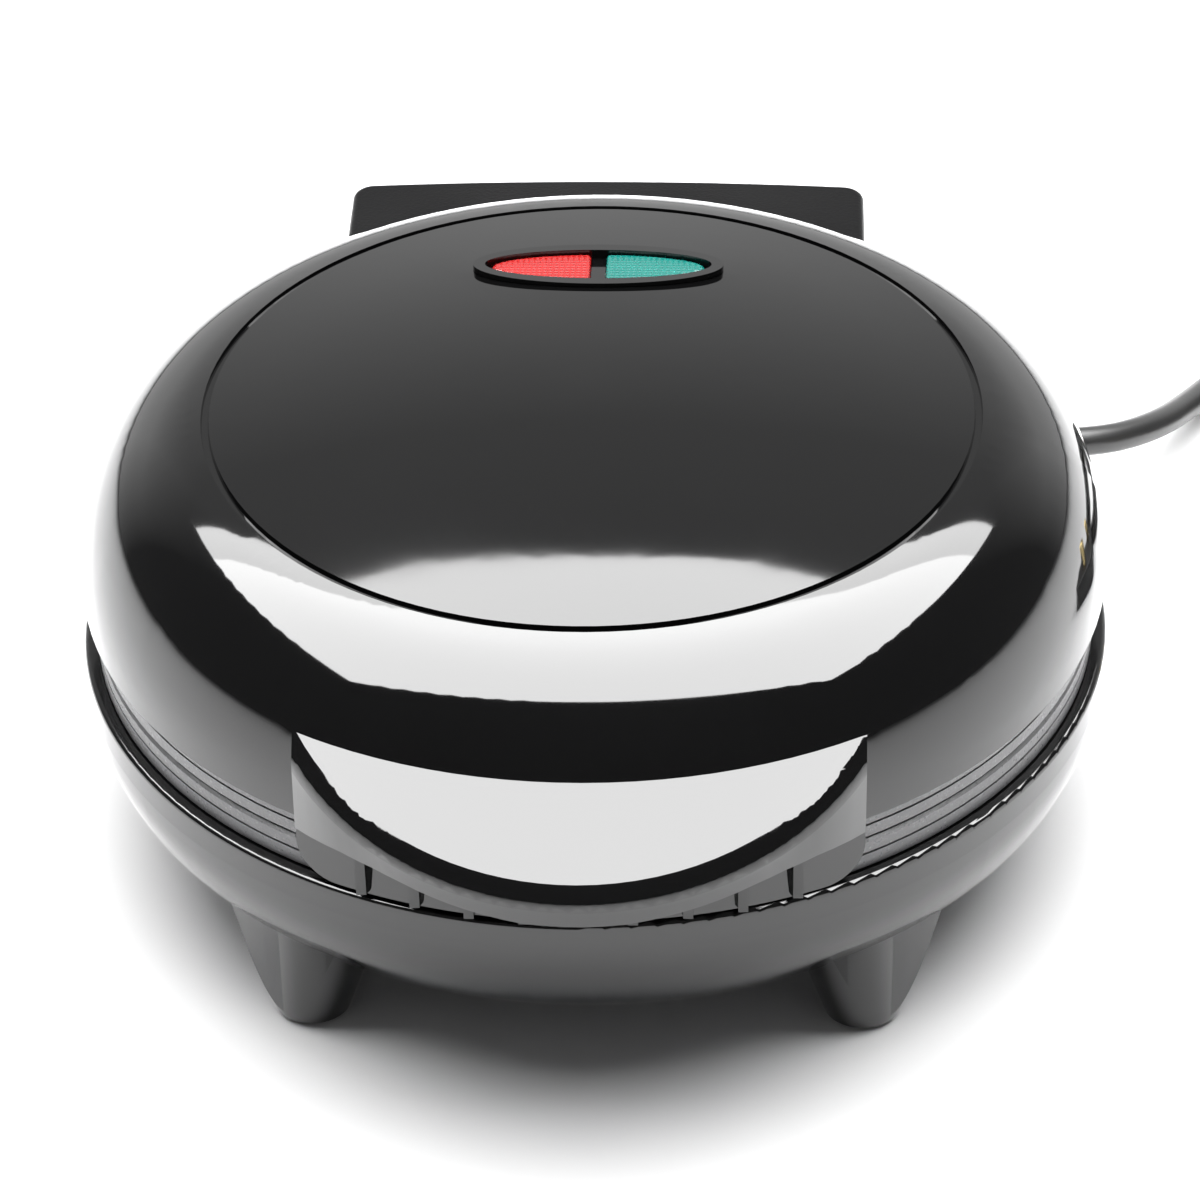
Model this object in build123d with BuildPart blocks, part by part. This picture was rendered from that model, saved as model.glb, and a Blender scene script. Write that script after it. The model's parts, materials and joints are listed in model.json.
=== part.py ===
from build123d import *
import math
import os

os.makedirs("parts", exist_ok=True)

# Countertop omelette maker: a round bowl on four feet, a domed lid hinged at the back,
# and two cast plates with half-moon pockets that meet between them.
# The lid's hinge is at +Y, the handle at -Y, and the origin is on the table under the bowl's axis.

# Driving dimensions of the shells, in millimetres
body_radius = 110.0
foot_height = 13.0
bowl_corner = 29.0
bowl_wall = 5.0
rim_lip = 1.2
shell_wall = 2.6
lid_edge_inset = 0.7
groove_inset = 28.0
shoulder_rise = 37.4
dome_slope = 7.3
groove_width = 2.6
groove_depth = 1.0
front_reach = 126.0
rear_reach = 124.0

# Driving dimensions of the plates
lower_band = 7.0
upper_band = 7.3
seal_gap = 0.4
plate_inset = 3.0
band_groove = 0.5
plate_thickness = 3.0
plate_skirt_wall = 3.2
pocket_radius = 89.0
pocket_depth_lower = 13.0
pocket_depth_upper = 11.0
pocket_draft = 24.0
pocket_corner = 15.0
divider_half_width = 5.0
tub_wall = 2.5
ledge_gap = 0.3

# Driving dimensions of the handle and its skirt
handle_half_width = 57.0
handle_side_reach = 94.5
handle_underside_drop = 2.3
brim_start_inset = 3.8
brim_start_rise = 18.7
brim_slope = 34.5
brim_root = 20.0
handle_wall = 2.5
handle_edge_radius = 6.0
skirt_wall = 1.8
skirt_clearance = 0.6
skirt_corner = 8.0
rib_count = 9
rib_pitch = 10.9
rib_thickness = 2.0
rib_depth_low = 1.6
rib_depth_high = 3.4

# Driving dimensions of the feet
foot_x = 57.4
foot_y = 76.0
foot_tip_radius = 8.0
foot_draft = 19.0
foot_top = 30.0
foot_front_radius = 104.2
pad_radius = 5.6
pad_thickness = 2.4
pad_proud = 0.8
pad_clearance = 0.1

# Driving dimensions of the hinge
hinge_y = 112.5
hinge_drop = 0.4
knuckle_radius = 7.5
knuckle_gap = 0.35
hinge_half_width = 59.0
lug_width = 9.0
ear_width = 6.0
pin_radius = 2.25
pin_running_clearance = 0.05
rear_bow = 2.5
rear_corner = 5.0
cover_rise = 19.7
cover_drop = 1.2
cover_wall = 2.5
housing_bottom = 9.0
housing_front = 86.0
housing_toe = 98.0
boss_start = 80.0
stop_clearance = 0.5
open_angle = 100.0
shell_fit = 0.15

# Driving dimensions of the heating parts
element_radius = 62.0
element_tube_radius = 3.25
element_arc = 300.0
element_pin_radius = 1.5
element_pin_length = 8.0
boss_ring_width = 11.0
post_circle = 40.0
post_radius = 4.5
screw_radius = 1.5
screw_clearance = 0.2
screw_head_radius = 3.0
screw_head_height = 2.2
shield_thickness = 0.8
shield_gap = 1.0
shield_lip = 4.0
shield_radius = 94.8

# Driving dimensions of the sensors and the terminal block
sensor_x = 24.0
sensor_y = 22.0
thermostat_radius = 8.0
thermostat_cap = 3.0
thermostat_body = 3.4
tab_length = 26.0
fuse_radius = 2.0
fuse_length = 14.0
fuse_lead_radius = 0.6
clip_length = 16.0
clip_width = 6.0
clip_sheet = 0.5
terminal_y = 62.0
terminal_length = 26.0
terminal_width = 14.0
terminal_height = 8.0
wire_radius = 1.2
wire_clearance = 0.1

# Driving dimensions of the indicator
indicator_y = 50.3
frame_half_length = 27.3
frame_half_width = 9.4
frame_ring = 1.9
frame_proud = 0.9
frame_body = 4.5
lens_half_length = 23.2
lens_half_width = 6.3
lens_bridge = 3.4
lens_proud = 0.2
lens_height = 4.2
lens_clearance = 0.15
lamp_radius = 2.6
lamp_length = 9.0

# Driving dimensions of the mains cord, its gland and its plug
cord_radius = 3.5
cord_clearance = 0.05
gland_y = 108.0
gland_z = 20.5
gland_length = 26.0
gland_root_radius = 6.6
gland_tip_radius = 4.7
gland_flange_radius = 7.8
gland_flange = 2.0
cord_exit_x = hinge_half_width + gland_length
cord_heading = 62.0
lead_last_run = 20.0
coil_start_x = 158.3
coil_start_y = 180.5
coil_radius = 44.0
coil_step = 3.8
coil_half_turns = 7
coil_climb = 7.5
plug_tail = 33.0
plug_length = 46.0
plug_width = 46.0
plug_height = 20.0

# Heights worked out from the driving dimensions
corner_top = foot_height + bowl_corner
rim_edge = corner_top + bowl_wall
rim_top = rim_edge + rim_lip
lower_face = rim_top + lower_band
upper_face = lower_face + seal_gap
lid_edge = upper_face + upper_band
lid_radius = body_radius - lid_edge_inset
groove_radius = lid_radius - groove_inset
groove_top = lid_edge + shoulder_rise
dome_radius = groove_radius / math.sin(math.radians(dome_slope))
dome_apex = groove_top + dome_radius * (1 - math.cos(math.radians(dome_slope)))
dome_centre = dome_apex - dome_radius
plate_radius = body_radius - plate_inset
hinge_z = lower_face - hinge_drop
lid_depth = dome_apex - lid_edge


def dome_height(radius):
    """Height of the lid's top disc at a radius from the axis."""
    return dome_centre + math.sqrt(dome_radius**2 - radius**2)


def bowl_solid(growth):
    """The bowl's outside as a solid, grown by growth (negative for its inside)."""
    corner = bowl_corner + growth
    flat = body_radius - bowl_corner
    with BuildPart() as solid:
        with BuildSketch(Plane.XZ):
            with BuildLine():
                Line((0, foot_height - growth), (flat, foot_height - growth))
                CenterArc((flat, corner_top), corner, -90, 90)
                Line((flat + corner, corner_top), (flat + corner, rim_top + max(-growth, 0)))
                Line((flat + corner, rim_top + max(-growth, 0)), (0, rim_top + max(-growth, 0)))
                Line((0, rim_top + max(-growth, 0)), (0, foot_height - growth))
            make_face()
        revolve(axis=Axis.Z)
    return solid.part


def lid_solid(growth, bottom):
    """The lid's outside as a solid of revolution, grown by growth, down to a bottom height."""
    slope = math.radians(dome_slope)
    start_r = groove_radius + growth * math.sin(slope)
    start_z = groove_top + growth * math.cos(slope)
    run = 22.0 + 0.7 * growth
    edge_r = lid_radius + growth
    with BuildPart() as solid:
        with BuildSketch(Plane.XZ):
            with BuildLine():
                CenterArc((0, dome_centre), dome_radius + growth, 90 - dome_slope, dome_slope)
                Bezier(
                    (start_r, start_z),
                    (start_r + run * math.cos(slope), start_z - run * math.sin(slope)),
                    (edge_r, lid_edge + 16.2 + 0.4 * growth),
                    (edge_r, lid_edge),
                )
                Polyline(
                    (edge_r, lid_edge), (edge_r, bottom), (0, bottom), (0, dome_apex + growth)
                )
            make_face()
        revolve(axis=Axis.Z)
    return solid.part


def ring_solid(outer, inner, low, high):
    """A plain ring about the axis."""
    with BuildPart() as solid:
        with BuildSketch(Plane.XY.offset(low)):
            Circle(outer)
            Circle(inner, mode=Mode.SUBTRACT)
        extrude(amount=high - low)
    return solid.part


bowl_outside = bowl_solid(0.0)
bowl_inside = bowl_solid(-shell_wall)
bowl_envelope = bowl_solid(shell_fit)
lid_outside = lid_solid(0.0, lid_edge - 0.01)
lid_inside = lid_solid(-shell_wall, lid_edge - 20)
lid_envelope = lid_solid(shell_fit, housing_bottom)

foot_places = [(sx * foot_x, sy * foot_y) for sx in (-1, 1) for sy in (-1, 1)]
post_places = [(post_circle, 0), (0, post_circle), (-post_circle, 0), (0, -post_circle)]

# Lower heating stack, worked down from the plate's face
lower_tub_bottom = lower_face - pocket_depth_lower - tub_wall
lower_element_z = lower_tub_bottom - element_tube_radius
lower_shield_top = lower_element_z - element_tube_radius - shield_gap
lower_shield_bottom = lower_shield_top - shield_thickness
floor_inside = foot_height + shell_wall
housing_screw_x = 16.0
housing_screw_z = foot_height + 15.0
housing_screw_low = housing_screw_z - 3.2
housing_seat_radius = body_radius - bowl_corner + math.sqrt(
    (bowl_corner - shell_wall)**2 - (corner_top - housing_screw_low)**2
)
housing_screw_seat = math.sqrt(housing_seat_radius**2 - (housing_screw_x + 3.2)**2) - 0.1
housing_screw_end = rear_reach - rear_bow - 4.0
foot_growth = math.tan(math.radians(foot_draft))
counterbore_depth = 6.0
cord_window_x = 31.0
ear_root = gland_z + gland_flange_radius
cord_level = gland_z + 4.9
window_height = 12.5



def feet_solid(growth, low):
    """The four drafted feet from a height low, cut flush in front, grown by growth."""
    with BuildPart() as feet:
        for x, y in foot_places:
            with Locations((x, y, low)):
                Cone(
                    foot_tip_radius + growth,
                    foot_tip_radius + growth + foot_growth * (foot_top - low),
                    foot_top - low,
                    align=(Align.CENTER, Align.CENTER, Align.MIN),
                )
        with Locations((0, 0, 0)):
            Cylinder(
                foot_front_radius + growth,
                2 * foot_top,
                align=(Align.CENTER, Align.CENTER, Align.MIN),
                mode=Mode.INTERSECT,
            )
    return feet.part


feet_outside = feet_solid(0.0, pad_proud)
feet_inside = feet_solid(-shell_wall, pad_proud + pad_thickness + shell_wall)
feet_envelope = feet_solid(shell_fit, pad_proud)

# Base shell: a bowl with four drafted feet, a seat for the plate and four screw posts
with BuildPart() as base_shell:
    add(bowl_outside)
    add(feet_outside)
    fillet(base_shell.edges().filter_by(GeomType.CIRCLE).group_by(Axis.Z)[0], 1.0)
    add(bowl_inside, mode=Mode.SUBTRACT)
    add(feet_inside, mode=Mode.SUBTRACT)
    with Locations(*[(x, y, 0) for x, y in foot_places]):
        Cylinder(
            pad_radius + pad_clearance,
            pad_thickness,
            align=(Align.CENTER, Align.CENTER, Align.MIN),
            mode=Mode.SUBTRACT,
        )
    # seat under the plate's skirt
    seat_top = rim_top - ledge_gap
    with BuildSketch(Plane.XZ):
        with BuildLine():
            Polyline(
                (plate_radius - plate_skirt_wall - 0.8, seat_top),
                (body_radius - shell_wall / 2, seat_top),
                (body_radius - shell_wall / 2, seat_top - 9),
                (body_radius - shell_wall - 0.2, seat_top - 9),
                (plate_radius - plate_skirt_wall - 0.8, seat_top - 2.4),
                close=True,
            )
        make_face()
    revolve(axis=Axis.Z)
    with Locations(*[(x, y, foot_height) for x, y in post_places]):
        Cylinder(
            post_radius + 0.6,
            lower_shield_bottom - foot_height,
            align=(Align.CENTER, Align.CENTER, Align.MIN),
        )
    with Locations(*[(x, y, foot_height) for x, y in post_places]):
        Cylinder(
            screw_head_radius + screw_clearance,
            counterbore_depth,
            align=(Align.CENTER, Align.CENTER, Align.MIN),
            mode=Mode.SUBTRACT,
        )
        Cylinder(
            screw_radius + screw_clearance,
            lower_shield_top - foot_height,
            align=(Align.CENTER, Align.CENTER, Align.MIN),
            mode=Mode.SUBTRACT,
        )
    # way in for the cord from the rear housing
    with Locations((cord_window_x, body_radius - bowl_corner / 2, cord_level - 1)):
        Box(4 * cord_radius, bowl_corner, window_height, mode=Mode.SUBTRACT)
    for side in (-1, 1):
        with BuildSketch(
            Plane(origin=(side * housing_screw_x, housing_screw_seat, housing_screw_z), z_dir=(0, 1, 0))
        ):
            Circle(screw_radius + screw_clearance)
        extrude(amount=body_radius - housing_screw_seat + 1, mode=Mode.SUBTRACT)
    rim_edges = base_shell.edges().filter_by(GeomType.CIRCLE).filter_by_position(
        Axis.Z, rim_top - 0.01, rim_top + 0.01
    )
    fillet(rim_edges.sort_by(SortBy.RADIUS)[-1], rim_lip * 0.9)
base_shell.part.label = "base_shell"
export_step(base_shell.part, "parts/base_shell.step")

# Space that the bowl and its feet take, for whatever is built against them
with BuildPart() as base_envelope:
    add(bowl_envelope)
    add(feet_envelope)

# Four rubber pads, one in each foot
with BuildPart() as foot_pads:
    with Locations(*[(x, y, 0) for x, y in foot_places]):
        Cylinder(pad_radius, pad_thickness, align=(Align.CENTER, Align.CENTER, Align.MIN))
    chamfer(foot_pads.edges().filter_by(GeomType.CIRCLE).group_by(Axis.Z)[0], 0.3)
foot_pads.part.label = "foot_pads"
export_step(foot_pads.part, "parts/foot_pads.step")


def pocket_outline(plane, growth):
    """Both half-moon pockets as one sketch, grown by growth."""
    with BuildSketch(plane) as outline:
        Circle(pocket_radius + growth)
        Rectangle(2 * (divider_half_width - growth), 3 * pocket_radius, mode=Mode.SUBTRACT)
        fillet(outline.vertices(), pocket_corner + growth)
    return outline.sketch


def cooking_plate(face, side, depth, posts, post_end, pilot, shank):
    """A cast plate whose pockets sink from face towards side (+1 up, -1 down)."""
    plane = Plane(origin=(0, 0, face), x_dir=(1, 0, 0), z_dir=(0, 0, side))
    back = plane.offset(plate_thickness)
    band = lower_band - 0.4 if side < 0 else upper_band - ledge_gap
    tub_end = depth + tub_wall
    outer_pockets = pocket_outline(plane, tub_wall)
    pockets = pocket_outline(plane, 0)
    with BuildPart() as plate:
        with BuildSketch(plane):
            Circle(plate_radius)
        extrude(amount=plate_thickness)
        with BuildSketch(plane):
            Circle(plate_radius)
            Circle(plate_radius - plate_skirt_wall, mode=Mode.SUBTRACT)
        extrude(amount=band)
        extrude(outer_pockets, amount=tub_end, taper=pocket_draft)
        with BuildSketch(plane.offset(tub_end - 1.5)):
            Circle(element_radius + boss_ring_width / 2)
            Circle(element_radius - boss_ring_width / 2, mode=Mode.SUBTRACT)
        extrude(amount=1.5 + element_tube_radius)
        with BuildSketch(back):
            with Locations(*[(x, side * y) for x, y in posts]):
                Circle(post_radius)
        extrude(amount=abs(post_end - face) - plate_thickness)
        extrude(pockets, amount=depth, taper=pocket_draft, mode=Mode.SUBTRACT)
        with BuildSketch(plane.offset(tub_end)):
            Circle(element_radius + element_tube_radius)
            Circle(element_radius - element_tube_radius, mode=Mode.SUBTRACT)
        extrude(amount=element_tube_radius, mode=Mode.SUBTRACT)
        with BuildSketch(Plane(origin=(0, 0, post_end), x_dir=(1, 0, 0), z_dir=(0, 0, -side))):
            with Locations(*[(x, -side * y) for x, y in posts]):
                Circle(shank)
        extrude(amount=pilot, mode=Mode.SUBTRACT)
        # a fine line round the middle of the band
        with BuildSketch(plane.offset(band / 2 - band_groove / 2)):
            Circle(plate_radius + 1)
            Circle(plate_radius - band_groove, mode=Mode.SUBTRACT)
        extrude(amount=band_groove, mode=Mode.SUBTRACT)
        floor = plate.edges().filter_by_position(
            Axis.Z, face + side * depth - 0.01, face + side * depth + 0.01
        )
        fillet(floor, 4.0)
        lip = plate.edges().filter_by_position(Axis.Z, face - 0.01, face + 0.01)
        rim = lip.filter_by(GeomType.CIRCLE).sort_by(SortBy.RADIUS)[-1]
        chamfer(rim, 0.6)
    return plate


lower_posts_end = lower_shield_top
lower_plate = cooking_plate(
    lower_face, -1, pocket_depth_lower, post_places, lower_posts_end, 8.0, screw_radius
)
lower_plate.part.label = "lower_plate"
export_step(lower_plate.part, "parts/lower_plate.step")

# Upper heating stack, worked up from the plate's face
upper_tub_top = upper_face + pocket_depth_upper + tub_wall
upper_element_z = upper_tub_top + element_tube_radius
upper_shield_bottom = upper_element_z + element_tube_radius + shield_gap
upper_shield_top = upper_shield_bottom + shield_thickness
lid_post_y = 36.0
lid_screw_places = [(0, lid_post_y), (0, -lid_post_y)]
lid_screw_length = 42.0
lid_screw_sink = 0.4

upper_plate = cooking_plate(
    upper_face, 1, pocket_depth_upper, lid_screw_places, upper_shield_bottom,
    upper_shield_bottom - upper_face, screw_radius + screw_clearance,
)
with upper_plate:
    with Locations(*[(x, y, upper_face) for x, y in lid_screw_places]):
        Cone(
            screw_head_radius + screw_clearance + lid_screw_sink,
            screw_radius + screw_clearance,
            screw_head_radius - screw_radius + 0.3 + lid_screw_sink,
            align=(Align.CENTER, Align.CENTER, Align.MIN),
            mode=Mode.SUBTRACT,
        )
upper_plate.part.label = "upper_plate"
export_step(upper_plate.part, "parts/upper_plate.step")


def heating_element(height, side):
    """A horseshoe tube with its gap at the back and two cold pins that turn away from the plate."""
    gap = 360.0 - element_arc
    start = math.radians(90 + gap / 2)
    plane = Plane(
        origin=(0, 0, 0),
        x_dir=(math.cos(start), math.sin(start), 0),
        z_dir=(math.sin(start), -math.cos(start), 0),
    )
    ends = [90 - gap / 2, 90 + gap / 2]
    with BuildPart() as element:
        with BuildSketch(plane):
            with Locations((element_radius, height)):
                Circle(element_tube_radius - 0.1)
        revolve(axis=Axis.Z, revolution_arc=element_arc)
        for index, angle in enumerate(ends):
            inward = math.radians(angle + (-1 if index == 0 else 1) * 3)
            x, y = element_radius * math.cos(inward), element_radius * math.sin(inward)
            with BuildSketch(Plane(origin=(x, y, height), x_dir=(1, 0, 0), z_dir=(0, 0, side))):
                Circle(element_pin_radius)
            extrude(amount=element_pin_length)
    return element


def heat_shield(low, side, holes, hole_radius, radius):
    """A thin dish with a lip turned towards the plate and holes for posts, pins and sensor."""
    gap = 360.0 - element_arc
    with BuildPart() as shield:
        with BuildSketch(Plane.XY.offset(low)):
            Circle(radius)
            with Locations(*holes):
                Circle(hole_radius, mode=Mode.SUBTRACT)
            for angle in (90 - gap / 2 - 3, 90 + gap / 2 + 3):
                with PolarLocations(element_radius, 1, start_angle=angle):
                    Circle(element_pin_radius + 1.2, mode=Mode.SUBTRACT)
        extrude(amount=shield_thickness)
        with BuildSketch(Plane.XY.offset(low if side > 0 else low + shield_thickness - shield_lip)):
            Circle(radius)
            Circle(radius - shield_thickness, mode=Mode.SUBTRACT)
        extrude(amount=shield_lip)
    return shield


lower_element = heating_element(lower_element_z, -1)
lower_element.part.label = "lower_element"
export_step(lower_element.part, "parts/lower_element.step")

upper_element = heating_element(upper_element_z, 1)
upper_element.part.label = "upper_element"
export_step(upper_element.part, "parts/upper_element.step")

lower_heat_shield = heat_shield(
    lower_shield_bottom, 1, post_places, screw_radius + screw_clearance, shield_radius
)
lower_heat_shield.part.label = "lower_heat_shield"
export_step(lower_heat_shield.part, "parts/lower_heat_shield.step")

upper_heat_shield = heat_shield(
    upper_shield_bottom, -1, lid_screw_places, screw_radius + screw_clearance,
    shield_radius,
)
upper_heat_shield.part.label = "upper_heat_shield"
export_step(upper_heat_shield.part, "parts/upper_heat_shield.step")

# Thermostat and thermal fuse, held against the lower plate's tubs
with BuildPart() as thermostat:
    with BuildSketch(Plane.XY.offset(lower_tub_bottom)):
        with Locations((sensor_x, sensor_y)):
            Circle(thermostat_radius)
    extrude(amount=-thermostat_cap)
    with BuildSketch(Plane.XY.offset(lower_tub_bottom - thermostat_cap)):
        with Locations((sensor_x, sensor_y)):
            Circle(thermostat_radius - 1.2)
    extrude(amount=-thermostat_body)
    with BuildSketch(Plane.XY.offset(lower_tub_bottom - 1.4)):
        with Locations((sensor_x, sensor_y)):
            Rectangle(tab_length, 5)
    extrude(amount=1.0)
thermostat.part.label = "thermostat"
export_step(thermostat.part, "parts/thermostat.step")

with BuildPart() as thermal_fuse:
    with BuildSketch(Plane(origin=(-sensor_x, sensor_y, lower_tub_bottom - fuse_radius), z_dir=(1, 0, 0))):
        Circle(fuse_radius)
    extrude(amount=fuse_length / 2, both=True)
    with BuildSketch(Plane(origin=(-sensor_x, sensor_y, lower_tub_bottom - fuse_radius), z_dir=(1, 0, 0))):
        Circle(fuse_lead_radius)
    extrude(amount=fuse_length, both=True)
thermal_fuse.part.label = "thermal_fuse"
export_step(thermal_fuse.part, "parts/thermal_fuse.step")

# Spring clip that presses the fuse to the tub: a saddle over the fuse between two flat feet
clip_drop = 2 * fuse_radius + clip_sheet
clip_half = fuse_radius + clip_sheet
with BuildPart() as fuse_clip:
    with BuildSketch(Plane.YZ.offset(-sensor_x)):
        with BuildLine():
            Polyline(
                (sensor_y - clip_length / 2, lower_tub_bottom),
                (sensor_y - clip_length / 2, lower_tub_bottom - clip_sheet),
                (sensor_y - clip_half, lower_tub_bottom - clip_sheet),
                (sensor_y - clip_half, lower_tub_bottom - clip_drop),
                (sensor_y + clip_half, lower_tub_bottom - clip_drop),
                (sensor_y + clip_half, lower_tub_bottom - clip_sheet),
                (sensor_y + clip_length / 2, lower_tub_bottom - clip_sheet),
                (sensor_y + clip_length / 2, lower_tub_bottom),
                (sensor_y + fuse_radius, lower_tub_bottom),
                (sensor_y + fuse_radius, lower_tub_bottom - 2 * fuse_radius),
                (sensor_y - fuse_radius, lower_tub_bottom - 2 * fuse_radius),
                (sensor_y - fuse_radius, lower_tub_bottom),
                close=True,
            )
        make_face()
    extrude(amount=clip_width / 2, both=True)
fuse_clip.part.label = "fuse_clip"
export_step(fuse_clip.part, "parts/fuse_clip.step")

# Screws that hold the lower plate down onto the base's posts
base_screw_seat = foot_height + counterbore_depth
with BuildPart() as base_screws:
    with Locations(*[(x, y, base_screw_seat - screw_head_height) for x, y in post_places]):
        Cylinder(screw_head_radius, screw_head_height, align=(Align.CENTER, Align.CENTER, Align.MIN))
    with Locations(*[(x, y, base_screw_seat - 0.2) for x, y in post_places]):
        Cylinder(
            screw_radius,
            lower_posts_end + 6.0 - base_screw_seat,
            align=(Align.CENTER, Align.CENTER, Align.MIN),
        )
    with Locations(*[(x, y, base_screw_seat - screw_head_height) for x, y in post_places]):
        Box(4.0, 0.8, 1.6, mode=Mode.SUBTRACT)
        Box(0.8, 4.0, 1.6, mode=Mode.SUBTRACT)
base_screws.part.label = "base_screws"
export_step(base_screws.part, "parts/base_screws.step")

# Plane of the indicator, flat on the dome
lamp_tilt = math.asin(indicator_y / dome_radius)
lamp_plane = Plane(
    origin=(0, indicator_y, dome_height(indicator_y)),
    x_dir=(1, 0, 0),
    z_dir=(0, math.sin(lamp_tilt), math.cos(lamp_tilt)),
)

# The handle's plan: a bow from side to side whose tip reaches front_reach
handle_underside = lid_edge - handle_underside_drop
bow_sagitta = front_reach - handle_side_reach
bow_radius = (handle_half_width**2 + bow_sagitta**2) / (2 * bow_sagitta)
bow_centre = -(front_reach - bow_radius)
skirt_inner = plate_radius + skirt_clearance
skirt_outer = skirt_inner + skirt_wall
skirt_bottom = rim_top + 0.9


def handle_plan(inset):
    """Sketch of the handle from above, drawn in by inset."""
    radius = bow_radius - inset
    half = handle_half_width - inset
    side_y = bow_centre - math.sqrt(radius**2 - half**2)
    with BuildSketch(Plane.XY.offset(handle_underside)) as plan:
        with BuildLine():
            ThreePointArc((-half, side_y), (0, bow_centre - radius), (half, side_y))
            Polyline((half, side_y), (half, -60), (-half, -60), (-half, side_y))
        make_face()
    return plan.sketch


def brim_solid(drop):
    """Everything under the handle's top, a cone that falls outwards from the lid's shoulder."""
    start_r = lid_radius - brim_start_inset
    start_z = lid_edge + brim_start_rise - drop
    fall = math.tan(math.radians(brim_slope))
    reach = front_reach + 12
    with BuildPart() as solid:
        with BuildSketch(Plane.XZ):
            with BuildLine():
                Polyline(
                    (0, handle_underside - 12),
                    (reach, handle_underside - 12),
                    (reach, start_z - (reach - start_r) * fall),
                    (start_r - brim_root, start_z + brim_root * fall),
                    (0, start_z + brim_root * fall),
                    close=True,
                )
            make_face()
        revolve(axis=Axis.Z)
    return solid.part


handle_outer_plan = handle_plan(0)
handle_inner_plan = handle_plan(handle_wall)
brim_top = brim_solid(0)
brim_under = brim_solid(handle_wall)

with BuildPart() as handle_body:
    extrude(handle_outer_plan, amount=lid_depth)
    add(brim_top, mode=Mode.INTERSECT)
    front_edges = handle_body.edges().filter_by_position(
        Axis.Z, handle_underside + 2, groove_top
    ).filter_by_position(Axis.Y, -front_reach - 1, -handle_side_reach + 2)
    top_front = front_edges.filter_by(lambda e: e.length > handle_half_width)
    fillet(top_front, handle_edge_radius)

outside_skirt = ring_solid(front_reach + 20, skirt_outer, handle_underside - 12, groove_top)

with BuildPart() as handle_hollow:
    extrude(handle_inner_plan, amount=lid_depth)
    add(brim_under, mode=Mode.INTERSECT)
    add(outside_skirt, mode=Mode.INTERSECT)

# Skirt panel that hangs from the lid's edge in front of the plates
skirt_height = lid_edge + 3 - skirt_bottom
skirt_ring = ring_solid(skirt_outer, skirt_inner, skirt_bottom, lid_edge + 3)
with BuildPart() as skirt_panel:
    add(skirt_ring)
    with BuildSketch(Plane.XZ) as skirt_front:
        with Locations((0, skirt_bottom + skirt_height / 2)):
            Rectangle(2 * handle_half_width, skirt_height)
        fillet(skirt_front.vertices().group_by(Axis.Z)[0], skirt_corner)
    extrude(amount=front_reach, mode=Mode.INTERSECT)


def rib_solid(x):
    """One fin on the skirt, deeper towards the handle's hollow."""
    root = math.sqrt(skirt_outer**2 - x**2) - 0.6
    with BuildPart() as rib:
        with BuildSketch(Plane.YZ.offset(x)) as profile:
            with BuildLine():
                Polyline(
                    (-root, skirt_bottom),
                    (-root - 0.6 - rib_depth_low, skirt_bottom),
                    (-root - 0.6 - rib_depth_high, handle_underside + 1.0),
                    (-root - 0.6 - rib_depth_high, lid_edge + 6),
                    (-root, lid_edge + 6),
                    close=True,
                )
            make_face()
            fillet(profile.vertices().sort_by(Axis.Z)[0:2].sort_by(Axis.Y)[0], 0.9)
        extrude(amount=rib_thickness / 2, both=True)
    return rib.part


rib_places = [(index - (rib_count - 1) / 2) * rib_pitch for index in range(rib_count)]
ribs = [rib_solid(x) for x in rib_places]

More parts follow.
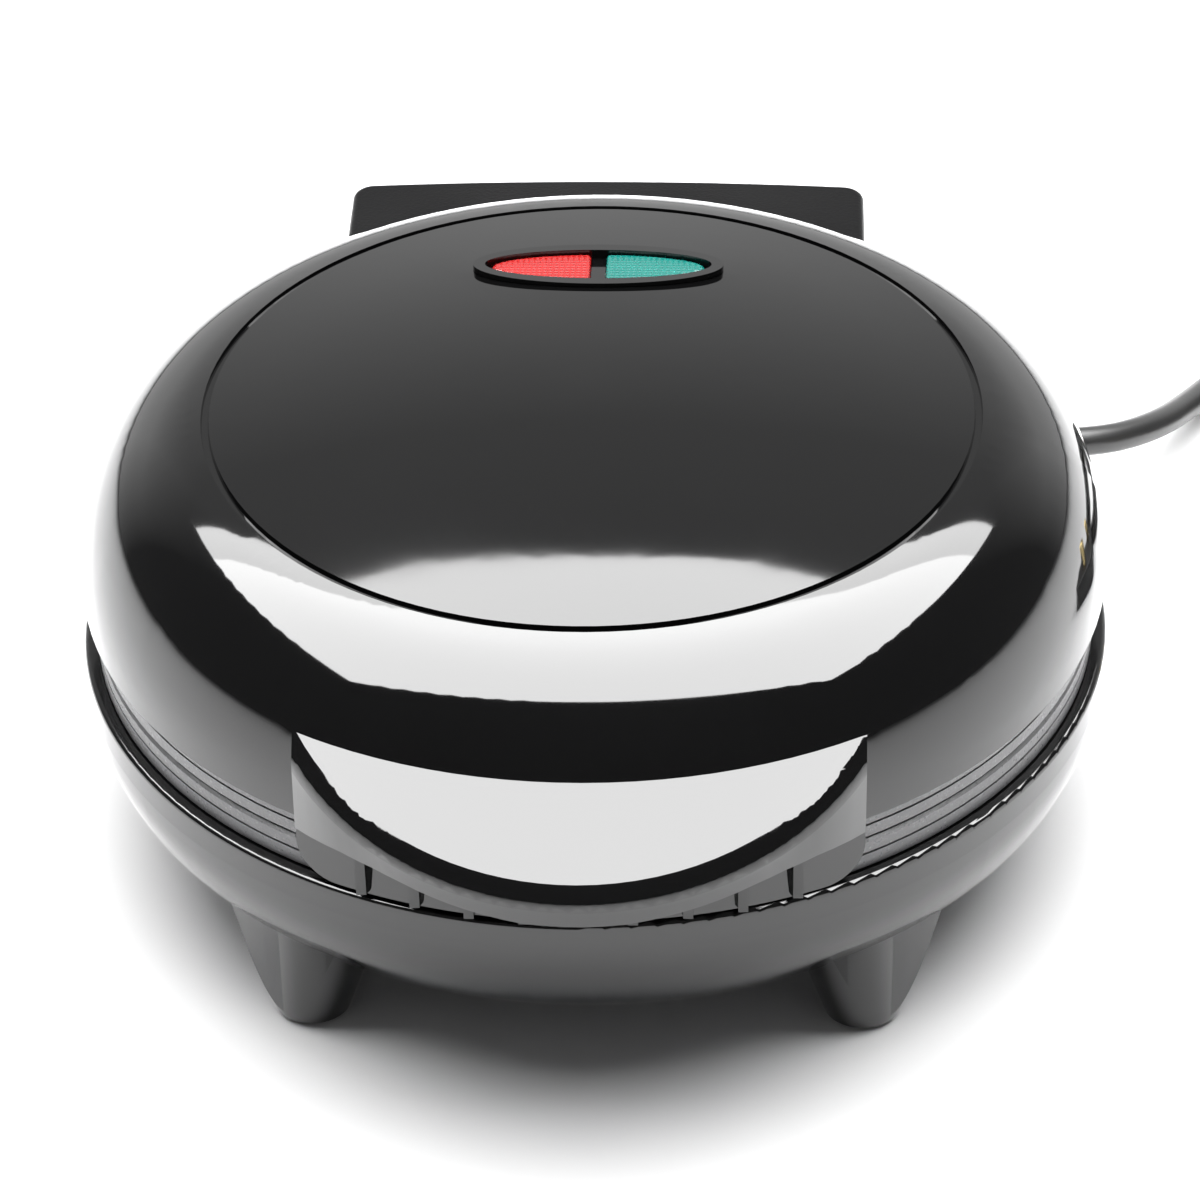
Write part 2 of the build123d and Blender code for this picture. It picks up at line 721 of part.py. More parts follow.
# Lid shell: domed cover, handle, skirt with its ribs, screw posts and the window for the lamps
window_half_length = frame_half_length - frame_ring + 0.3
window_half_width = frame_half_width - frame_ring + 0.3
cover_boss_x = 30.0
cover_boss_z = lid_edge + 10.0
cover_boss_radius = 3.6
cover_screw_seat = math.sqrt((lid_radius - shell_wall - 2.2)**2 - (cover_boss_x + screw_head_radius)**2)
cover_screw_end = rear_reach - rear_bow - cover_wall - 1.0
with BuildPart() as lid_shell:
    add(lid_outside)
    with BuildSketch(Plane.XZ):
        with BuildLine():
            Polyline(
                (groove_radius - groove_width / 2, groove_top + 2),
                (groove_radius + groove_width / 2, groove_top + 2),
                (groove_radius + groove_width / 4, groove_top - groove_depth),
                (groove_radius - groove_width / 4, groove_top - groove_depth),
                close=True,
            )
        make_face()
    revolve(axis=Axis.Z, mode=Mode.SUBTRACT)
    add(handle_body.part)
    add(lid_inside, mode=Mode.SUBTRACT)
    add(handle_hollow.part, mode=Mode.SUBTRACT)
    # room for the upper plate under the handle's root
    with Locations((0, 0, handle_underside - 1)):
        Cylinder(
            skirt_inner,
            lid_edge - handle_underside + 1,
            align=(Align.CENTER, Align.CENTER, Align.MIN),
            mode=Mode.SUBTRACT,
        )
    add(skirt_panel.part)
    for rib in ribs:
        add(rib)
    # seat over the upper plate's skirt
    with BuildSketch(Plane.XZ):
        with BuildLine():
            Polyline(
                (plate_radius - plate_skirt_wall - 0.8, lid_edge),
                (lid_radius - shell_wall / 2, lid_edge),
                (lid_radius - shell_wall / 2, lid_edge + 8),
                (lid_radius - shell_wall - 0.4, lid_edge + 8),
                (plate_radius - plate_skirt_wall - 0.8, lid_edge + 2.4),
                close=True,
            )
        make_face()
    revolve(axis=Axis.Z)
    with Locations(*[(x, y, upper_shield_top) for x, y in lid_screw_places]):
        Cylinder(
            post_radius,
            dome_height(lid_post_y) - shell_wall / 2 - upper_shield_top,
            align=(Align.CENTER, Align.CENTER, Align.MIN),
        )
    with Locations(*[(x, y, upper_shield_top) for x, y in lid_screw_places]):
        Cylinder(
            screw_radius,
            upper_face + lid_screw_length + 1.0 - upper_shield_top,
            align=(Align.CENTER, Align.CENTER, Align.MIN),
            mode=Mode.SUBTRACT,
        )
    with BuildSketch(lamp_plane.offset(2)):
        Ellipse(window_half_length, window_half_width)
    extrude(amount=-frame_body - 6, mode=Mode.SUBTRACT)
    for x in (-cover_boss_x, cover_boss_x):
        with BuildSketch(Plane(origin=(x, 0, cover_boss_z), z_dir=(0, 1, 0))):
            Circle(screw_radius + screw_clearance)
        extrude(amount=rear_reach, mode=Mode.SUBTRACT)
lid_shell.part.label = "lid_shell"
export_step(lid_shell.part, "parts/lid_shell.step")


def rear_plan(inset, top):
    """Plan of the rear block, a slightly bowed back with rounded corners, drawn in by inset."""
    half = hinge_half_width - inset
    back = rear_reach - inset
    with BuildSketch(Plane.XY.offset(housing_bottom - 5)) as plan:
        with BuildLine():
            Polyline((-half, back - rear_bow), (-half, 40), (half, 40), (half, back - rear_bow))
            ThreePointArc((half, back - rear_bow), (0, back), (-half, back - rear_bow))
        make_face()
        corners = plan.vertices().sort_by(Axis.Y)[-2:]
        fillet(corners, max(rear_corner - inset, 0.5))
    with BuildPart() as block:
        extrude(plan.sketch, amount=top)
    return block.part


rear_block_outer = rear_plan(0, dome_apex)
rear_block_inner = rear_plan(cover_wall, dome_apex)
cover_top = lid_edge + cover_rise
cover_bottom = hinge_z + cover_drop
lug_inner = hinge_half_width - lug_width
pin_depth_lug = lug_width - 3.0
ear_outer = lug_inner - knuckle_gap
ear_inner = ear_outer - ear_width
slot_inner = ear_inner - knuckle_gap
slot_top = hinge_z + knuckle_radius + 0.5 + math.tan(math.radians(open_angle - 90)) * (
    rear_reach - hinge_y
)
slot_ceiling = slot_top + 0.6

cover_hollow_low = cover_bottom + cover_wall
cover_hollow_high = cover_top - cover_wall
lug_back = rear_reach - rear_bow

# Hinge cover: the matte block behind the lid, with a knuckle lug at each end
with BuildPart() as cover_hollow:
    with BuildSketch(Plane.XY.offset(cover_hollow_low)):
        with Locations((0, rear_reach / 2 + 40)):
            Rectangle(2 * hinge_half_width, rear_reach)
    extrude(amount=cover_hollow_high - cover_hollow_low)
    add(rear_block_inner, mode=Mode.INTERSECT)

with BuildPart() as hinge_cover:
    with BuildSketch(Plane.XY.offset(cover_bottom)):
        with Locations((0, rear_reach / 2 + 40)):
            Rectangle(2 * hinge_half_width, rear_reach)
    extrude(amount=cover_top - cover_bottom)
    add(rear_block_outer, mode=Mode.INTERSECT)
    fillet(hinge_cover.faces().sort_by(Axis.Z)[-1].edges().sort_by(Axis.Y)[-5:], 1.6)
    add(cover_hollow.part, mode=Mode.SUBTRACT)
    # solid webs carry the knuckles, and the ears below turn in a slot beside each
    for side in (-1, 1):
        web_x = side * (lug_inner + slot_inner - cover_wall) / 2
        with Locations((side * (hinge_half_width + lug_inner) / 2, hinge_y - knuckle_radius, hinge_z)):
            Box(
                lug_width,
                lug_back - rear_corner - hinge_y + knuckle_radius,
                cover_hollow_high - hinge_z + 0.5,
                align=(Align.CENTER, Align.MIN, Align.MIN),
            )
        with BuildSketch(Plane.YZ.offset(side * (hinge_half_width + lug_inner) / 2)):
            with Locations((hinge_y, hinge_z)):
                Circle(knuckle_radius)
        extrude(amount=lug_width / 2, both=True)
        with Locations((web_x, rear_reach - cover_wall, cover_bottom)):
            Box(
                lug_inner - slot_inner + cover_wall,
                24,
                slot_ceiling - cover_bottom + cover_wall,
                align=(Align.CENTER, Align.MAX, Align.MIN),
            )
        slot_x = side * (lug_inner + slot_inner) / 2
        with Locations((slot_x, hinge_y - knuckle_radius - 20, hinge_z - 20)):
            Box(
                lug_inner - slot_inner,
                60,
                slot_ceiling - hinge_z + 20,
                align=(Align.CENTER, Align.MIN, Align.MIN),
                mode=Mode.SUBTRACT,
            )
        # blind bore for the pin, open on the lug's inner face
        with BuildSketch(Plane(origin=(side * lug_inner, hinge_y, hinge_z), z_dir=(side, 0, 0))):
            Circle(pin_radius + pin_running_clearance)
        extrude(amount=pin_depth_lug + 0.5, mode=Mode.SUBTRACT)
        with BuildSketch(Plane(origin=(side * cover_boss_x, boss_start, cover_boss_z), z_dir=(0, 1, 0))):
            Circle(cover_boss_radius)
        extrude(amount=rear_reach - rear_bow - boss_start)
    add(lid_envelope, mode=Mode.SUBTRACT)
    for side in (-1, 1):
        with BuildSketch(Plane(origin=(side * cover_boss_x, boss_start, cover_boss_z), z_dir=(0, 1, 0))):
            Circle(screw_radius)
        extrude(amount=cover_screw_end + 1 - boss_start, mode=Mode.SUBTRACT)
hinge_cover.part.label = "hinge_cover"
export_step(hinge_cover.part, "parts/hinge_cover.step")

# Screws that hold the hinge cover, driven from inside the lid
with BuildPart() as cover_screws:
    for side in (-1, 1):
        seat = (side * cover_boss_x, cover_screw_seat, cover_boss_z)
        with BuildSketch(Plane(origin=seat, z_dir=(0, 1, 0))):
            Circle(screw_radius)
        extrude(amount=cover_screw_end - cover_screw_seat)
        with BuildSketch(Plane(origin=seat, z_dir=(0, -1, 0))):
            Circle(screw_head_radius)
        extrude(amount=screw_head_height)
cover_screws.part.label = "cover_screws"
export_step(cover_screws.part, "parts/cover_screws.step")

# Rear housing: the block behind the bowl, open towards it, with two ears that carry the lid
block_top = hinge_z - (rear_reach - hinge_y) - stop_clearance
stop_fall = math.tan(math.radians(open_angle - 90)) * (rear_reach - hinge_y)
block_back_top = block_top - stop_fall


def housing_profile(inset):
    """The block's section in the plane of symmetry, drawn in by inset."""
    with BuildSketch(Plane.YZ) as section:
        with BuildLine():
            Polyline(
                (housing_front + inset, foot_height + 8),
                (housing_front + inset, foot_height + 1 + inset),
                (housing_toe + inset / 2, housing_bottom + inset),
                (rear_reach + 1, housing_bottom + inset),
                (rear_reach + 1, block_back_top - inset),
                (hinge_y - 1, block_top - inset),
                (housing_front + inset, block_top - inset),
                close=True,
            )
        make_face()
    return section.sketch


housing_outer = housing_profile(0)
housing_inner = housing_profile(cover_wall)
with BuildPart() as housing_hollow:
    extrude(housing_inner, amount=hinge_half_width - cover_wall, both=True)
    add(rear_block_inner, mode=Mode.INTERSECT)

with BuildPart() as rear_housing:
    extrude(housing_outer, amount=hinge_half_width, both=True)
    add(rear_block_outer, mode=Mode.INTERSECT)
    add(housing_hollow.part, mode=Mode.SUBTRACT)
    for side in (-1, 1):
        with BuildSketch(Plane.YZ.offset(side * (ear_inner + ear_outer) / 2)):
            with Locations((hinge_y, hinge_z)):
                Circle(knuckle_radius)
            with Locations((hinge_y, hinge_z)):
                Rectangle(2 * knuckle_radius, hinge_z - ear_root, align=(Align.CENTER, Align.MAX))
        extrude(amount=ear_width / 2, both=True)
        with BuildSketch(Plane(origin=(side * ear_inner, hinge_y, hinge_z), z_dir=(side, 0, 0))):
            Circle(pin_radius)
        extrude(amount=ear_width, mode=Mode.SUBTRACT)
        boss_origin = (side * housing_screw_x, boss_start, housing_screw_z)
        with BuildSketch(Plane(origin=boss_origin, z_dir=(0, 1, 0))):
            Circle(cover_boss_radius)
        extrude(amount=rear_reach - rear_bow - boss_start)
    with BuildSketch(Plane(origin=(hinge_half_width + 1, gland_y, gland_z), z_dir=(-1, 0, 0))):
        Circle(gland_root_radius + 0.2)
    extrude(amount=cover_wall + 2, mode=Mode.SUBTRACT)
    add(base_envelope.part, mode=Mode.SUBTRACT)
    for side in (-1, 1):
        boss_origin = (side * housing_screw_x, boss_start, housing_screw_z)
        with BuildSketch(Plane(origin=boss_origin, z_dir=(0, 1, 0))):
            Circle(screw_radius)
        extrude(amount=housing_screw_end + 1 - boss_start, mode=Mode.SUBTRACT)
rear_housing.part.label = "rear_housing"
export_step(rear_housing.part, "parts/rear_housing.step")

# Screws that hold the rear housing, driven from inside the bowl
with BuildPart() as housing_screws:
    for side in (-1, 1):
        seat = (side * housing_screw_x, housing_screw_seat, housing_screw_z)
        with BuildSketch(Plane(origin=seat, z_dir=(0, 1, 0))):
            Circle(screw_radius)
        extrude(amount=housing_screw_end - housing_screw_seat)
        with BuildSketch(Plane(origin=seat, z_dir=(0, -1, 0))):
            Circle(screw_head_radius)
        extrude(amount=screw_head_height)
housing_screws.part.label = "housing_screws"
export_step(housing_screws.part, "parts/housing_screws.step")

# Two steel hinge pins, pressed in the ears and free in the lid's lugs
with BuildPart() as hinge_pins:
    for side in (-1, 1):
        with BuildSketch(Plane(origin=(side * ear_inner, hinge_y, hinge_z), z_dir=(side, 0, 0))):
            Circle(pin_radius)
        extrude(amount=ear_width + knuckle_gap + pin_depth_lug)
hinge_pins.part.label = "hinge_pins"
export_step(hinge_pins.part, "parts/hinge_pins.step")

# Screws through the upper plate's divider into the lid's posts
with BuildPart() as lid_screws:
    with Locations(*[(x, y, upper_face + lid_screw_sink) for x, y in lid_screw_places]):
        Cone(
            screw_head_radius,
            screw_radius,
            screw_head_radius - screw_radius + 0.2,
            align=(Align.CENTER, Align.CENTER, Align.MIN),
        )
        Cylinder(
            screw_radius,
            lid_screw_length - lid_screw_sink,
            align=(Align.CENTER, Align.CENTER, Align.MIN),
        )
    with Locations(*[(x, y, upper_face + lid_screw_sink) for x, y in lid_screw_places]):
        Box(3.6, 0.8, 1.0, mode=Mode.SUBTRACT)
        Box(0.8, 3.6, 1.0, mode=Mode.SUBTRACT)
lid_screws.part.label = "lid_screws"
export_step(lid_screws.part, "parts/lid_screws.step")

# Indicator frame: an oval ring round two windows, set into the lid
opening_half_length = lens_half_length + lens_clearance
opening_half_width = lens_half_width + lens_clearance
frame_floor = -1.2
with BuildPart() as indicator_frame:
    with BuildSketch(lamp_plane.offset(frame_proud)):
        Ellipse(frame_half_length, frame_half_width)
    extrude(amount=-2.4 * frame_proud)
    add(lid_envelope, mode=Mode.SUBTRACT)
    with BuildSketch(lamp_plane.offset(frame_proud)):
        Ellipse(window_half_length - 0.25, window_half_width - 0.25)
    extrude(amount=-frame_body - frame_proud)
    with BuildSketch(lamp_plane.offset(frame_proud)):
        Ellipse(window_half_length - 1.0, window_half_width - 1.0)
    extrude(amount=-frame_proud + frame_floor, mode=Mode.SUBTRACT)
    with BuildSketch(lamp_plane.offset(frame_proud)):
        Ellipse(opening_half_length, opening_half_width)
        Rectangle(lens_bridge - 2 * lens_clearance, 3 * lens_half_width, mode=Mode.SUBTRACT)
    extrude(amount=-2 * frame_body, mode=Mode.SUBTRACT)
indicator_frame.part.label = "indicator_frame"
export_step(indicator_frame.part, "parts/indicator_frame.step")


def lens_solid(side):
    """A half-oval lens with a crowned top and a lip below the frame."""
    with BuildPart() as lens:
        with BuildSketch(lamp_plane.offset(lens_proud)) as outline:
            Ellipse(lens_half_length, lens_half_width)
            with Locations((-side * lens_half_length / 2 + side * lens_bridge / 4, 0)):
                Rectangle(lens_half_length + lens_bridge / 2, 3 * lens_half_width, mode=Mode.SUBTRACT)
            fillet(outline.vertices(), 1.0)
        extrude(amount=-lens_height)
        top = lens.faces().sort_by(Axis.Z)[-1]
        fillet(top.edges(), 0.8)
    return lens


red_lens = lens_solid(-1)
red_lens.part.label = "red_lens"
export_step(red_lens.part, "parts/red_lens.step")

green_lens = lens_solid(1)
green_lens.part.label = "green_lens"
export_step(green_lens.part, "parts/green_lens.step")

# Lamp holder: a clip-on tray under the frame with a cradle for each lamp
holder_top = -frame_body
lamp_x = lens_half_length / 2 + lens_bridge / 4
lamp_depth = holder_top - lamp_radius - 0.6
with BuildPart() as lamp_holder:
    with BuildSketch(lamp_plane.offset(holder_top)):
        RectangleRounded(2 * window_half_length - 4, 2 * window_half_width, 3)
        with Locations((lamp_x, 0), (-lamp_x, 0)):
            Rectangle(lens_half_length - 6, 2 * lamp_radius + 2, mode=Mode.SUBTRACT)
    extrude(amount=-1.6)
    for side in (-1, 1):
        for end in (-1, 1):
            with BuildSketch(
                Plane(
                    origin=lamp_plane.from_local_coords(
                        Vector(side * lamp_x + end * (lamp_length / 2 - 1.5), 0, holder_top)
                    ),
                    x_dir=lamp_plane.y_dir,
                    z_dir=(1, 0, 0),
                )
            ):
                with Locations((0, -lamp_radius - 1.4)):
                    Rectangle(2 * lamp_radius + 4, 2 * lamp_radius + 2.6)
                with Locations((0, -lamp_radius - 0.6)):
                    Circle(lamp_radius + 0.1, mode=Mode.SUBTRACT)
            extrude(amount=0.8, both=True)
lamp_holder.part.label = "lamp_holder"
export_step(lamp_holder.part, "parts/lamp_holder.step")

# Two neon lamps with their lead wires
with BuildPart() as indicator_lamps:
    for side in (-1, 1):
        lamp_start = lamp_plane.from_local_coords(Vector(side * lamp_x - lamp_length / 2, 0, lamp_depth))
        with BuildSketch(Plane(origin=lamp_start, z_dir=(1, 0, 0))):
            Circle(lamp_radius)
        extrude(amount=lamp_length)
        lead_start = lamp_plane.from_local_coords(
            Vector(side * (lamp_x + lamp_length / 2 - 0.2), 0, lamp_depth)
        )
        with BuildSketch(Plane(origin=lead_start, z_dir=(side, 0, 0))):
            Circle(0.5)
        extrude(amount=1.7)
indicator_lamps.part.label = "indicator_lamps"
export_step(indicator_lamps.part, "parts/indicator_lamps.step")

# Terminal block on the bowl's floor
with BuildPart() as terminal_block:
    with Locations((0, terminal_y, floor_inside)):
        Box(
            terminal_length,
            terminal_width,
            terminal_height,
            align=(Align.CENTER, Align.CENTER, Align.MIN),
        )
    with GridLocations(8, 1, 3, 1):
        with Locations((0, terminal_y, floor_inside + terminal_height)):
            Cylinder(2.2, 3, align=(Align.CENTER, Align.CENTER, Align.MAX), mode=Mode.SUBTRACT)
    chamfer(terminal_block.edges().group_by(Axis.Z)[-1].filter_by(GeomType.LINE), 0.5)
terminal_block.part.label = "terminal_block"
export_step(terminal_block.part, "parts/terminal_block.step")

# Mains cord inside the housing: from the gland through the bowl's window to the terminal block
wire_start = terminal_length / 2 + wire_clearance
gland_bore = gland_length - 6.0
seat_x = hinge_half_width + gland_bore
with BuildPart() as inner_cord:
    with BuildLine():
        FilletPolyline(
            (seat_x, gland_y, gland_z),
            (cord_window_x + 2, gland_y, gland_z),
            (cord_window_x - 1, 80, cord_level),
            (cord_window_x - 4, terminal_y, cord_level),
            (wire_start, terminal_y, cord_level),
            radius=[13, 60, 11],
        )
    with BuildSketch(Plane(origin=(seat_x, gland_y, gland_z), z_dir=(-1, 0, 0))):
        Circle(cord_radius - cord_clearance)
    sweep()
inner_cord.part.label = "inner_cord"
export_step(inner_cord.part, "parts/inner_cord.step")

# Wires from the terminal block to the lower element's cold pins
pin_angle = math.radians(90 - (360 - element_arc) / 2 - 3)
pin_x, pin_y = element_radius * math.cos(pin_angle), element_radius * math.sin(pin_angle)
with BuildPart() as base_wiring:
    for side in (-1, 1):
        with BuildLine() as wire_path:
            FilletPolyline(
                (side * wire_start, terminal_y - 5, cord_level),
                (side * (pin_x - 8), terminal_y - 5, cord_level),
                (side * pin_x, pin_y, cord_level),
                (side * pin_x, pin_y, lower_element_z - element_pin_length - wire_clearance),
                radius=[4, 2.0],
            )
        with BuildSketch(
            Plane(origin=(side * wire_start, terminal_y - 5, cord_level), z_dir=(side, 0, 0))
        ):
            Circle(wire_radius)
        sweep(path=wire_path.wire())
base_wiring.part.label = "base_wiring"
export_step(base_wiring.part, "parts/base_wiring.step")

# Wires from the upper element's cold pins to the lamps
lamp_lead_end = lamp_plane.from_local_coords(Vector(lamp_x + lamp_length / 2 + 1.6, 0, lamp_depth))
with BuildPart() as lid_wiring:
    for side in (-1, 1):
        start = Vector(side * pin_x, pin_y, upper_element_z + element_pin_length + wire_clearance)
        with BuildLine() as wire_path:
            FilletPolyline(
                start,
                (side * pin_x, pin_y, lamp_lead_end.Z - 6),
                (side * (lamp_lead_end.X + 6), lamp_lead_end.Y, lamp_lead_end.Z),
                (side * lamp_lead_end.X, lamp_lead_end.Y, lamp_lead_end.Z),
                radius=[4, 3],
            )
        with BuildSketch(Plane(origin=start, z_dir=(0, 0, 1))):
            Circle(wire_radius)
        sweep(path=wire_path.wire())
lid_wiring.part.label = "lid_wiring"
export_step(lid_wiring.part, "parts/lid_wiring.step")

# Cord gland: a tapered boot on the housing's side with a flange behind the wall
flange_x = hinge_half_width - cover_wall - gland_flange
with BuildPart() as cord_gland:
    with BuildSketch(Plane(origin=(flange_x, gland_y, gland_z), z_dir=(1, 0, 0))):
        Circle(gland_flange_radius)
    extrude(amount=gland_flange)
    with BuildSketch(Plane(origin=(flange_x, gland_y, gland_z), z_dir=(1, 0, 0))):
        Circle(gland_root_radius)
    extrude(amount=gland_flange + cover_wall)
    with BuildSketch(Plane(origin=(hinge_half_width, gland_y, gland_z), z_dir=(1, 0, 0))):
        Circle(gland_root_radius)
    with BuildSketch(Plane(origin=(cord_exit_x, gland_y, gland_z), z_dir=(1, 0, 0))):
        Circle(gland_tip_radius)
    loft()
    with BuildSketch(Plane(origin=(hinge_half_width - 10, gland_y, gland_z), z_dir=(1, 0, 0))):
        Circle(cord_radius)
    extrude(amount=10 + gland_bore, mode=Mode.SUBTRACT)
    for index in range(4):
        groove_x = hinge_half_width + 5 + 4.5 * index
        with BuildSketch(Plane(origin=(groove_x, gland_y, gland_z), z_dir=(1, 0, 0))):
            Circle(gland_root_radius + 1)
            Circle(gland_root_radius - 0.9 - 0.35 * index, mode=Mode.SUBTRACT)
        extrude(amount=1.6, mode=Mode.SUBTRACT)
cord_gland.part.label = "cord_gland"
export_step(cord_gland.part, "parts/cord_gland.step")

# Lead that lies free: out of the gland, down to the table and along it to the coil
heading = math.radians(cord_heading)
forward = Vector(math.cos(heading), math.sin(heading), 0)
coil_start = Vector(coil_start_x, coil_start_y, cord_radius)
lead_points = [
    Vector(cord_exit_x, gland_y, gland_z),
    Vector(cord_exit_x + 15, gland_y, gland_z),
    Vector(117.0, 114.2, 17.0),
    Vector(130.3, 128.0, 12.4),
    Vector(139.5, 145.2, 7.4),
    coil_start - forward * lead_last_run,
    coil_start,
]


def corner_radii(points):
    """The largest arc that each corner allows: 0.45 of the shorter run over the half turn's tangent."""
    radii = []
    for before, at, after in zip(points, points[1:], points[2:]):
        run_in, run_out = at - before, after - at
        half_turn = math.radians(run_in.get_angle(run_out)) / 2
        radii.append(0.45 * min(run_in.length, run_out.length) / math.tan(half_turn))
    return radii


lead_radii = corner_radii(lead_points)
print("lead radii", [round(radius, 1) for radius in lead_radii])
with BuildPart() as cord_lead:
    with BuildLine() as lead_path:
        FilletPolyline(*lead_points, radius=lead_radii)
    with BuildSketch(Plane(origin=lead_points[0], z_dir=lead_points[1] - lead_points[0])):
        Circle(cord_radius)
    sweep()
lead_length = lead_path.wire().length
lead_section = math.pi * cord_radius**2
print("lead length", round(lead_length, 1), "volume ratio",
      round(cord_lead.part.volume / (lead_section * lead_length), 4))
cord_lead.part.label = "cord_lead"
export_step(cord_lead.part, "parts/cord_lead.step")

# Coil put away beside the maker: half turns that spiral in, climb a layer and spiral out
inward = Vector(math.sin(heading), -math.cos(heading), 0)
reversal = coil_half_turns // 2
coil_radii = [
    coil_radius - coil_step * (reversal - abs(index - reversal)) for index in range(coil_half_turns)
]
coil_stub = 2 * cord_radius
with BuildPart() as cord_coil:
    with BuildLine() as coil_path:
        place = coil_start + forward * coil_stub
        Line(coil_start, place)
        travel = forward
        across = inward
        for index, radius in enumerate(coil_radii):
            climb = coil_climb if index == reversal else 0.0
            end = place + across * (2 * radius) + Vector(0, 0, climb)
            reach = math.sqrt(radius**2 + climb**2 / 4)
            first, second = place + travel * reach, end + travel * reach
            middle = (first + second) * 0.5
            TangentArc(place, middle, tangent=travel)
            TangentArc(middle, end, tangent=(second - first).normalized())
            place, travel, across = end, travel * -1, across * -1
        coil_end = place + travel * plug_tail
        Line(place, coil_end)
    with BuildSketch(Plane(origin=coil_start, z_dir=forward)):
        Circle(cord_radius)
    sweep()
coil_length = coil_path.wire().length
print("coil length", round(coil_length, 1), "volume ratio",
      round(cord_coil.part.volume / (lead_section * coil_length), 4))
cord_coil.part.label = "cord_coil"
export_step(cord_coil.part, "parts/cord_coil.step")

# Least gap between turns, measured on points along the coil's path
coil_wire = coil_path.wire()
sample_count = int(coil_length / 3)
samples = [coil_wire.position_at(index / sample_count) for index in range(sample_count + 1)]
skip = int(12 * cord_radius / (coil_length / sample_count))
least = min(
    (samples[i] - samples[j]).length
    for i in range(len(samples))
    for j in range(i + skip, len(samples))
)
print("least gap between turns", round(least - 2 * cord_radius, 2))

# Mains plug lying on its back at the coil's end, its three flat pins upwards
plug_plane = Plane(
    origin=(coil_end.X, coil_end.Y, 0), x_dir=(travel.X, travel.Y, 0), z_dir=(0, 0, 1)
)
with BuildPart() as plug_body:
    with BuildSketch(plug_plane) as plug_outline:
        with BuildLine():
            Polyline(
                (0, 7), (6, 12), (14, plug_width / 2), (plug_length - 4, plug_width / 2),
                (plug_length, plug_width / 2 - 5), (plug_length, -plug_width / 2 + 5),
                (plug_length - 4, -plug_width / 2), (14, -plug_width / 2), (6, -12), (0, -7), (0, 7),
            )
        make_face()
    extrude(amount=plug_height)
    fillet(plug_body.edges().filter_by(Axis.Z), 2.4)
    fillet(plug_body.edges().group_by(Axis.Z)[-1], 1.2)
    fillet(plug_body.edges().group_by(Axis.Z)[0], 2.4)
plug_body.part.label = "plug_body"
export_step(plug_body.part, "parts/plug_body.step")

# The plug's pins: a long earth pin and two shorter pins
with BuildPart() as plug_pins:
    with BuildSketch(plug_plane.offset(plug_height)):
        with Locations((plug_length - 12, 0)):
            Rectangle(8.0, 4.0)
    extrude(amount=22.7)
    with BuildSketch(plug_plane.offset(plug_height)):
        with Locations((plug_length - 34, 11.1), (plug_length - 34, -11.1)):
            Rectangle(4.0, 6.35)
    extrude(amount=17.7)
    chamfer(plug_pins.faces().filter_by(Axis.Z).sort_by(Axis.Z)[-3:].edges(), 0.8)
plug_pins.part.label = "plug_pins"
export_step(plug_pins.part, "parts/plug_pins.step")
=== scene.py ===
"""Looks of a countertop omelette maker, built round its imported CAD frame."""

import json
import logging
import math
from dataclasses import dataclass, field
from enum import Enum

import bmesh
import bpy
from mathutils import Matrix, Vector

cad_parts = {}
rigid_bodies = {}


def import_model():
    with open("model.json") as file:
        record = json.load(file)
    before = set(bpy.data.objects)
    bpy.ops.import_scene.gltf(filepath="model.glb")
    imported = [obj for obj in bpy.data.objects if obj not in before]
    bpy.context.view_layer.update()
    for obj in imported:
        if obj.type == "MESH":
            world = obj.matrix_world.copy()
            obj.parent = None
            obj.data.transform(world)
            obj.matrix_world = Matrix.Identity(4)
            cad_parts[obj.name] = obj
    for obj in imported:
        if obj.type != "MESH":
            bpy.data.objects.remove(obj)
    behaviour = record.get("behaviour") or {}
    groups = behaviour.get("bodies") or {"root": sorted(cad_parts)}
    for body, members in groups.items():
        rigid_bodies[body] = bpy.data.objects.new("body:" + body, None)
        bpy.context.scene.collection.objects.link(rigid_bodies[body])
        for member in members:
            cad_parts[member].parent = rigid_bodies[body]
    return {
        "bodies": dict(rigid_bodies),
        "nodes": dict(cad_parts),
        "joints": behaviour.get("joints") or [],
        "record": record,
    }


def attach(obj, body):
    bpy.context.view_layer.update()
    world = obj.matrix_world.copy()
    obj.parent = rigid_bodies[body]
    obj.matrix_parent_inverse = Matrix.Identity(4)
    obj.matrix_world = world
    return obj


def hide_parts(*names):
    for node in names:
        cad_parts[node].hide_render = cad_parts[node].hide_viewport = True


LOG = logging.getLogger("omelette_maker")
MM = 0.001

COAT_ROUGHNESS = 0.04
CLOUD_SCALE = 18.0
CLOUD_DETAIL = 4.0
CLOUD_SPAN = (0.3, 0.7)
PEEL_DETAIL = 1.0
GRAIN_DETAIL = 5.0
DRAWN_STRETCH = (1.0, 12.0, 1.0)
FLECK_SCALE = 2600.0
FLECK_START = 0.9
FLECK_COLOUR = (0.09, 0.09, 0.095, 1.0)
FLECK_ROUGHNESS = 0.24

KEPT_NORMAL = "cad_normal"
FOOT_SLOT = 1
RIM_SLOT = 2


class Body(Enum):
    """Bodies of the frame that a new piece can ride on."""

    BASE = "base"
    LID = "lid"


class Grain(Enum):
    """Kinds of surface relief that a finish can carry."""

    ORANGE_PEEL = "orange_peel"
    SPARK_ERODED = "spark_eroded"
    COATED = "coated"
    DRAWN = "drawn"
    SHEET = "sheet"
    BRAID = "braid"
    PRISMATIC = "prismatic"
    PLAIN = "plain"


@dataclass(frozen=True)
class Relief:
    """Scale and depth of a finish's relief.

    Args:
        grain: The kind of relief.
        scale: Features per metre of the main texture.
        depth: Height of the relief in metres.
        strength: How much of the relief the shading shows.
    """

    grain: Grain
    scale: float
    depth: float
    strength: float


